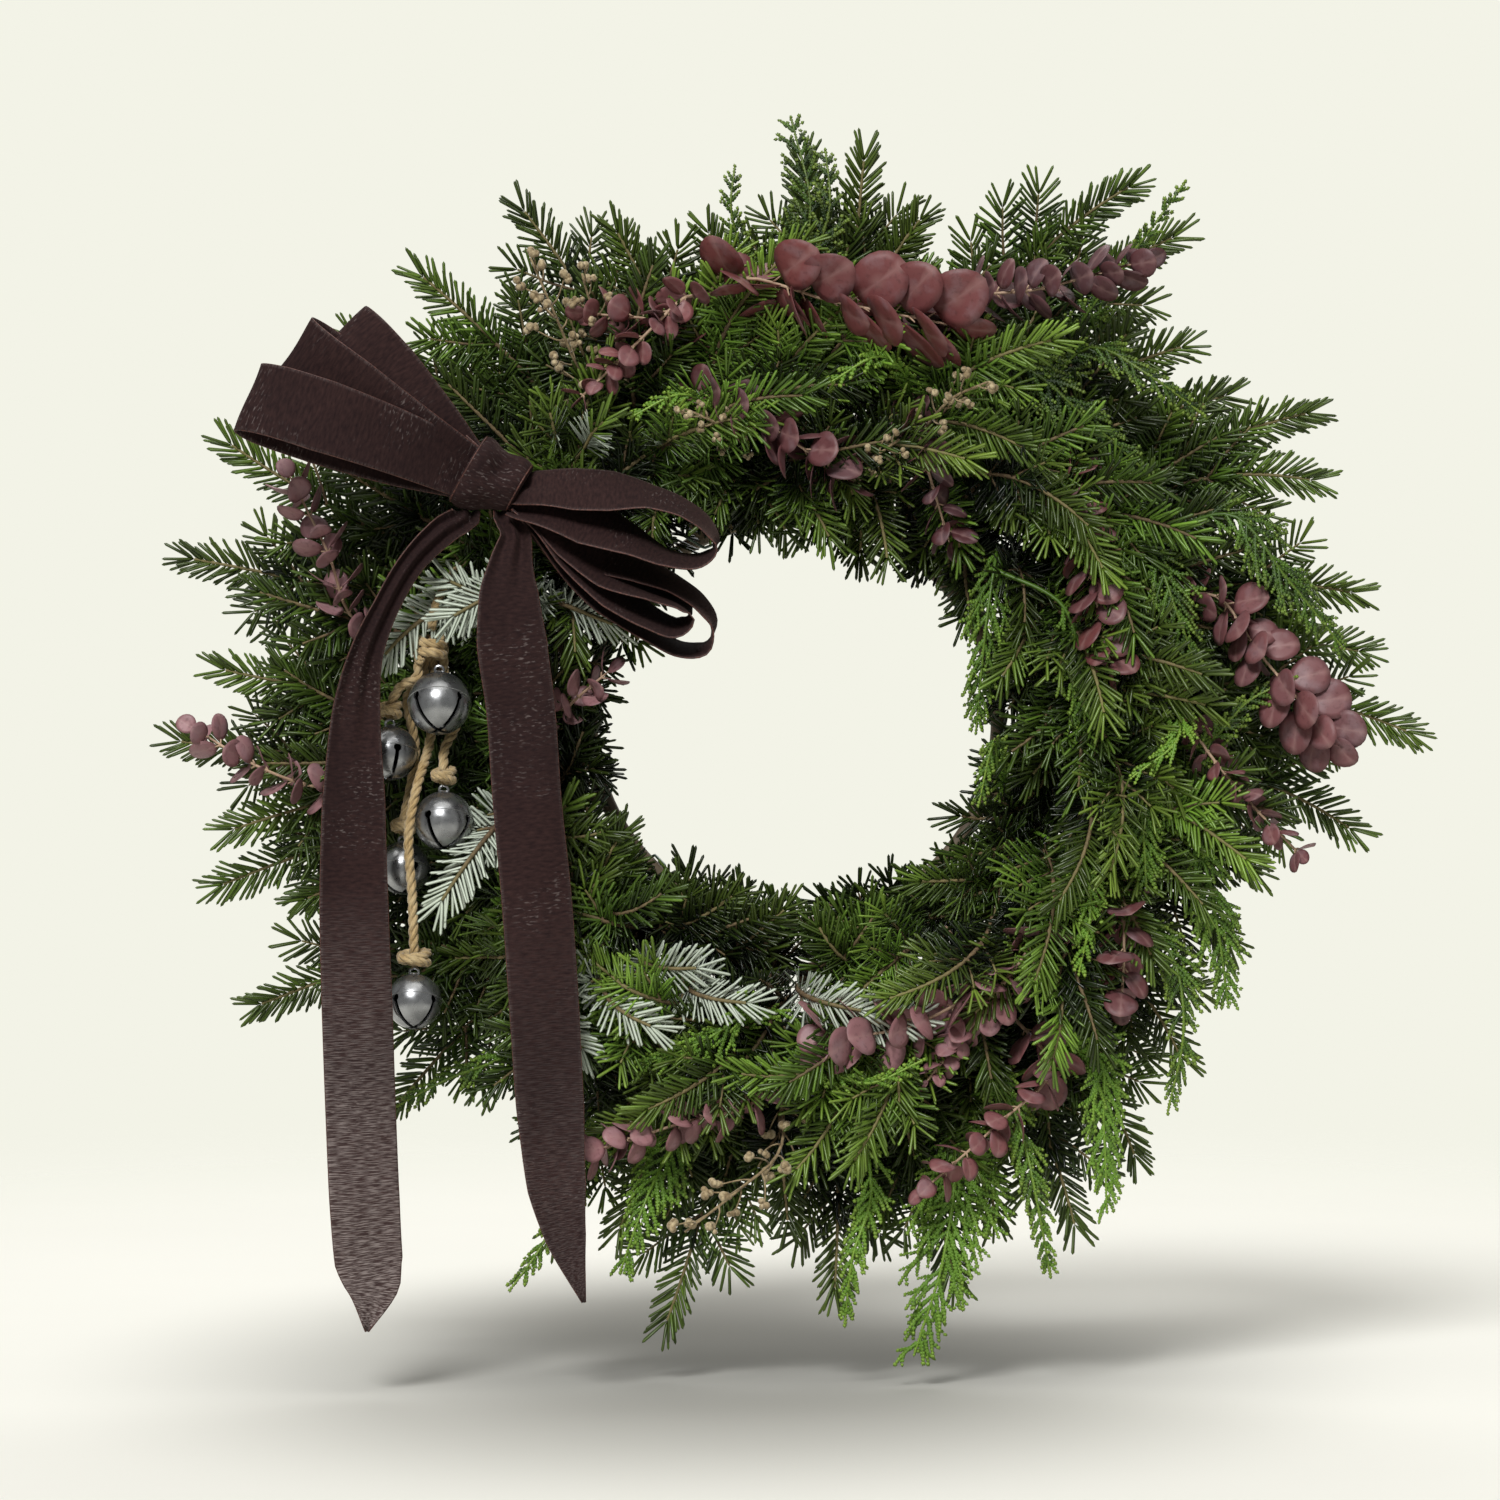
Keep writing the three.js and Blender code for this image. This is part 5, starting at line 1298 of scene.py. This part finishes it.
# For each piece, its stems: the points that show, and the leaves' radius at the foot and at the tip.
EUCALYPTUS = [
    [([(-44, 206, 76), (-72, 210, 90), (-108, 213, 92)], 12, 8),
     ([(-56, 222, 98), (-80, 200, 102), (-111, 170, 100)], 9, 6)],
    [([(-30, 230, 104), (20, 218, 110), (75, 207, 110)], 13, 18)],
    [([(84, 218, 92), (130, 226, 98), (180, 240, 96)], 12, 9)],
    [([(-50, 172, 96), (-12, 152, 104), (24, 128, 102)], 9, 12)],
    [([(62, 156, 96), (70, 128, 100), (80, 95, 94)], 9, 8)],
    [([(146, 134, 90), (152, 90, 96), (165, 28, 98)], 10, 10)],
    [([(220, 66, 84), (244, 34, 92), (280, -8, 90)], 10, 12.5),
     ([(212, -8, 76), (236, -40, 82), (263, -68, 80)], 7, 6)],
    [([(170, -96, 94), (172, -120, 98), (171, -144, 96)], 12, 10)],
    [([(126, -112, 92), (108, -140, 98), (70, -188, 96)], 12, 5),
     ([(86, -148, 96), (54, -162, 102), (20, -166, 100)], 12, 12)],
    [([(134, -184, 90), (106, -212, 96), (68, -246, 92)], 11, 7)],
    [([(-20, -200, 88), (-62, -212, 96), (-110, -228, 92)], 9, 8)],
    [([(-232, 52, 78), (-246, 88, 84), (-265, 126, 80)], 9, 8)],
    [([(-248, -36, 76), (-280, -26, 80), (-315, -6, 74)], 9, 8)],
    [([(-122, 6, 74), (-112, 14, 82), (-100, 24, 84)], 7, 8)],
]
# For each eucalyptus piece: how grey its burgundy is, and how rosy.
TONES = [(0.25, 0.25), (0.05, 0.15), (0.9, 0.1), (0.8, 0.1), (0.9, 0), (0.5, 0.1), (0.6, 0.2), (0.6, 0.1),
         (0.6, 0.5), (0.3, 0.3), (0.5, 0.6), (0.8, 0.6), (0.9, 0.6), (0.7, 0.5)]
PLAIN = {"tone": 0.0, "rosy": 0.0, "vein": 0.0, "rim": 0.0}


def leaf(shape, root, along, across, radius, draw, tone, rosy):
    """A round, slightly cupped and folded leaf with a short stalk, thinner towards its rim."""
    face = across.cross(along).normalized()
    cup = draw.uniform(0.04, 0.2)
    fold = draw.uniform(0.04, 0.26)
    wavy = draw.uniform(0, 6)
    stalk = radius * 0.25
    rings, spokes = (0.0, 0.35, 0.7, 1.0), 20
    layers = []
    for sign in (1, -1):
        layer = []
        for ring in rings:
            for k in range(spokes if ring else 1):
                a = 2 * math.pi * k / spokes
                u, v = ring * math.cos(a), ring * math.sin(a)
                reach = radius * (1 + 0.12 * math.cos(a) + 0.03 * math.sin(3 * a + wavy))
                lift = radius * (cup * ring**2 - fold * abs(v) + 0.04 * ring**2 * math.sin(2 * a + wavy))
                layer.append(root + along * (stalk + radius + u * reach) + across * (v * reach * 0.94)
                             + face * (lift + sign * 0.28 * (1 - 0.6 * ring)))
        layers.append(layer)
    n = len(layers[0])
    faces = []
    for first, flip in ((0, False), (n, True)):
        fan = [[first, first + 1 + k, first + 1 + (k + 1) % spokes] for k in range(spokes)]
        fan += bands(len(rings) - 1, spokes, first + 1, flip=True)
        faces += [f if flip else f[::-1] for f in fan]
    row = n - spokes
    faces += [[n + row + (k + 1) % spokes, n + row + k, row + k, row + (k + 1) % spokes]
              for k in range(spokes)]
    vein = [1.0] + [1.0 if k % 10 == 0 else 0.0 for _ in rings[1:] for k in range(spokes)]
    rim = [0.0] + [1.0 if ring == 1.0 else 0.0 for ring in rings[1:] for _ in range(spokes)]
    shape.add(layers[0] + layers[1], faces, tone=tone, rosy=rosy, vein=vein * 2, rim=rim * 2)
    shape.tube([root, root + along * (stalk + radius * 0.2)], [0.55, 0.4], 5, finish=1, **PLAIN)


def leafy(shape, line, pairs, foot, tip, draw, tone, rosy):
    """A stem with pairs of leaves, each pair turned across the last, and one leaf at its end."""
    shape.tube(line, [1.2 - 0.6 * i / len(line) for i in range(len(line))], 8, finish=1, **PLAIN)
    marks = frames(line)
    last = len(line) - 1
    for k in range(pairs):
        share = k / (pairs - 1)
        p, way, front, side = marks[round(last * (0.42 + 0.56 * share))]
        turn = (k % 2) * math.pi / 2 + draw.uniform(-0.3, 0.3) + 0.5
        radius = foot + (tip - foot) * share
        for sign in (-1, 1):
            out = (side * math.cos(turn) + front * math.sin(turn)) * sign
            tilt = math.radians(draw.uniform(26, 52))
            along = (out * math.cos(tilt) + way * math.sin(tilt)).normalized()
            showing = draw.uniform(-0.1, 0.75) + (1.3 if tip > 12 else 0)
            across = along.cross(way + front * showing + side * draw.uniform(-0.3, 0.3))
            size = radius * draw.uniform(0.76, 1.0)
            room = ceiling(p.x, p.z + HOOK_DROP)
            if (p + along * size * 2.2).y < -(room + 12 if room < 100 else 146):
                continue
            leaf(shape, p, along, across.normalized(), size, draw, tone + draw.uniform(-0.2, 0.2), rosy)
    p, way, front, side = marks[-1]
    leaf(shape, p, way, side, tip * 0.7, draw, tone, rosy)


def eucalyptus():
    for index, (lines, (tone, rosy)) in enumerate(zip(EUCALYPTUS, TONES), 1):
        draw = random.Random(500 + index)
        shape = Shape()
        fork = None
        for shown, foot, tip in lines:
            points = [at(*p) for p in shown]
            pairs = round(length_of(points) / max(6.8, 0.3 * (foot + tip))) + 1
            if fork:
                line = smooth([fork, fork.lerp(points[0], 0.6) + Vector((0, 18, 0)), *points], 24)
            else:
                line = stem_from_bundle(points, 30)
            leafy(shape, line, pairs, foot, tip, draw, tone, rosy)
            fork = fork or line[12]
        shape.piece(f"eucalyptus_stem_{index:02d}", [LEAVES, STEMS], "eucalyptus",
                    f"eucalyptus_{index:02d}")


eucalyptus()

# For each cedar piece, its main fronds: the points that show, and the branchlets' length.
CEDARS = [
    [([(106, 88, 84), (100, 50, 90), (95, -6, 84)], 24),
     ([(140, 60, 92), (150, 26, 92), (152, -16, 88)], 24)],
    [([(186, 88, 88), (200, 56, 94), (213, 18, 92)], 26),
     ([(228, 108, 84), (258, 74, 90), (288, 38, 84)], 26)],
    [([(178, -36, 92), (182, -60, 98), (184, -88, 92)], 24),
     ([(212, -70, 80), (222, -110, 84), (228, -150, 78)], 26)],
    [([(84, -226, 64), (78, -284, 76), (63, -334, 74)], 44),
     ([(158, -176, 84), (162, -214, 86), (164, -258, 80)], 28)],
    [([(-66, -224, 66), (-80, -256, 80), (-92, -290, 82)], 28),
     ([(-20, -150, 96), (-48, -168, 100), (-82, -182, 94)], 24)],
    [([(2, 226, 84), (8, 270, 80), (-2, 318, 66)], 36),
     ([(118, 186, 92), (150, 160, 96), (186, 128, 90)], 28)],
]
CEDAR_TONES = [0.45, 0.3, 0.5, 0.9, 0.8, 0.1]
# Smaller fronds beside the main ones, by cedar piece: points, branchlet length and tone.
SIDE_FRONDS = {
    0: [([(122, 122, 88), (150, 92, 100), (172, 66, 104)], 15, 0.9),
        ([(108, -30, 84), (104, -12, 92), (96, -44, 96)], 13, 0.5),
        ([(-30, 150, 92), (-58, 170, 106), (-86, 158, 110)], 12, 1.0),
        ([(60, 176, 92), (44, 190, 106), (18, 176, 110)], 12, 1.0)],
    1: [([(196, 12, 84), (200, -10, 100), (176, -30, 104)], 17, 0.9),
        ([(214, -14, 84), (238, 10, 92), (262, 22, 92)], 15, 0.3)],
    2: [([(150, -70, 92), (154, -100, 104), (148, -132, 106)], 17, 0.9),
        ([(196, -120, 84), (204, -160, 88), (196, -206, 84)], 18, 0.35)],
    3: [([(40, -250, 84), (30, -282, 88), (26, -318, 80)], 16, 0.95),
        ([(118, -214, 92), (126, -250, 96), (134, -292, 84)], 17, 0.5)],
    4: [([(-120, -250, 64), (-134, -278, 72), (-150, -300, 76)], 17, 0.6),
        ([(-150, -176, 64), (-184, -190, 70), (-214, -206, 70)], 16, 0.4),
        ([(10, -176, 96), (36, -190, 108), (66, -178, 110)], 14, 0.9)],
    5: [([(-28, 244, 74), (-34, 270, 72), (-32, 292, 66)], 17, 0.1),
        ([(8, 232, 88), (18, 270, 84), (16, 300, 74)], 24, 0.0),
        ([(154, 196, 88), (186, 180, 96), (214, 160, 92)], 17, 0.15),
        ([(170, 236, 70), (190, 262, 70), (206, 284, 64)], 14, 0.3)],
}


def cedar_frond(twigs, line, long, draw, tone, fresh):
    """A flat drooping frond: a midrib, alternate branchlets and the small ones on them."""
    facing = (FRONT + Vector((draw.uniform(-0.5, 0.5), 0, draw.uniform(-0.5, 0.5)))).normalized()
    start = int(len(line) * 0.36)
    twigs.chain(line, facing, (1.3, 0.5), tone, fresh, 0.8)
    shown = length_of(line[start:])
    steps = int(shown / 7)
    fine = even(line[start:], steps + 2)
    for k in range(steps + 1):
        p, on = fine[k], (fine[k + 1] - fine[k]).normalized()
        share = k / (steps + 1)
        for sign in (-1, 1):
            if draw.random() < 0.12:
                continue
            reach = long * (1.2 - 0.95 * share) * draw.uniform(0.7, 1.1) * min(1, 0.5 + share * 3)
            side = on.cross(facing).normalized() * sign
            lean = math.radians(draw.uniform(30, 46))
            out = (side * math.sin(lean) + on * math.cos(lean)).normalized()
            droop = Vector((0, draw.uniform(-0.2, 0.3), -0.18))
            foot = p + on * draw.uniform(-2, 2)
            tip = foot + out * reach + (on * 0.2 + droop) * reach
            rib = bezier(foot, foot + out * reach * 0.6, tip, max(4, int(reach / 3.4)))
            shade = tone + draw.uniform(-0.2, 0.2)
            twigs.chain(rib, facing, (0.7, 0.3), shade, fresh, 0.9)
            for j in range(1, len(rib) - 1):
                ahead = (rib[j + 1] - rib[j]).normalized()
                small = reach * 0.42 * (1.1 - 0.8 * j / len(rib)) * draw.uniform(0.7, 1.2)
                if small < 2.5:
                    continue
                across = ahead.cross(facing).normalized() * (1 if j % 2 else -1)
                end = rib[j] + (across * 0.62 + ahead * 0.85) * small + facing * draw.uniform(-1, 1)
                twigs.chain([rib[j], rib[j].lerp(end, 0.5), end], facing, (0.5, 0.25), shade, fresh, 0.8)


def cedar():
    scale = one_scale()
    tree = cedar_tree(scale)
    for index, lines in enumerate(CEDARS):
        draw = random.Random(930 + index)
        twigs = Twigs()
        fork = None
        for shown, long in lines:
            points = [at(*p) for p in shown]
            line = smooth([fork, *points], 26) if fork else stem_from_bundle(points, 34)
            cedar_frond(twigs, line, long * 0.9, draw, CEDAR_TONES[index], 0.6)
            fork = fork or line[14]
        for shown, long, tone in SIDE_FRONDS[index]:
            cedar_frond(twigs, stem_from_bundle([at(*p) for p in shown], 30), long, draw, tone, 0.8)
        grow(f"cedar_fronds_{index + 1}", twigs, tree, "cedar", [f"cedar_spray_{index + 1}"], Long=3.2)
    bpy.data.objects.remove(scale)


cedar()

# For each piece, its stems: the points that show, and the size of its heads.
DRIED_SPRIGS = [
    [([(66, 150, 92), (82, 168, 108), (100, 176, 112)], 9),
     ([(-30, 148, 92), (-44, 156, 108), (-58, 162, 112)], 8),
     ([(30, 134, 92), (42, 138, 108), (54, 146, 112)], 8)],
    [([(-8, -226, 92), (-30, -246, 104), (-58, -268, 104)], 11)],
    [([(-112, 180, 84), (-126, 212, 92), (-139, 242, 96)], 11),
     ([(-96, 196, 84), (-108, 220, 92), (-112, 234, 94)], 9)],
]


def dried_sprigs():
    """Dry stems that branch into small round buds."""
    for index, lines in enumerate(DRIED_SPRIGS, 1):
        draw = random.Random(330 + index)
        shape = Shape()
        for shown, size in lines:
            line = stem_from_bundle([at(*p) for p in shown], 26)
            shape.tube(line, [1.3 - 0.7 * i / 26 for i in range(26)], 6, tone=0.2)
            marks = frames(line)
            for k in range(16):
                p, way, front, side = marks[12 + int(k * 13 / 16)]
                a = k * 2.4
                out = (front * math.sin(a) + side * math.cos(a)).normalized()
                end = p + (out * 0.9 + way * 0.8) * size * draw.uniform(0.8, 1.5)
                shape.tube(bezier(p, p + out * size * 0.4, end, 5), [0.55, 0.5, 0.45, 0.4, 0.4], 5, tone=0.3)
                for _ in range(4):
                    spot = end + Vector([draw.uniform(-1, 1) for _ in range(3)]) * size * 0.22
                    sphere(shape, spot, size * draw.uniform(0.13, 0.24), 6, 8, tone=draw.uniform(0.2, 1))
        shape.piece(f"dried_flowers_{index}", [DRIED], "dried_flower", f"dried_sprig_{index}")


dried_sprigs()

stage()
light()
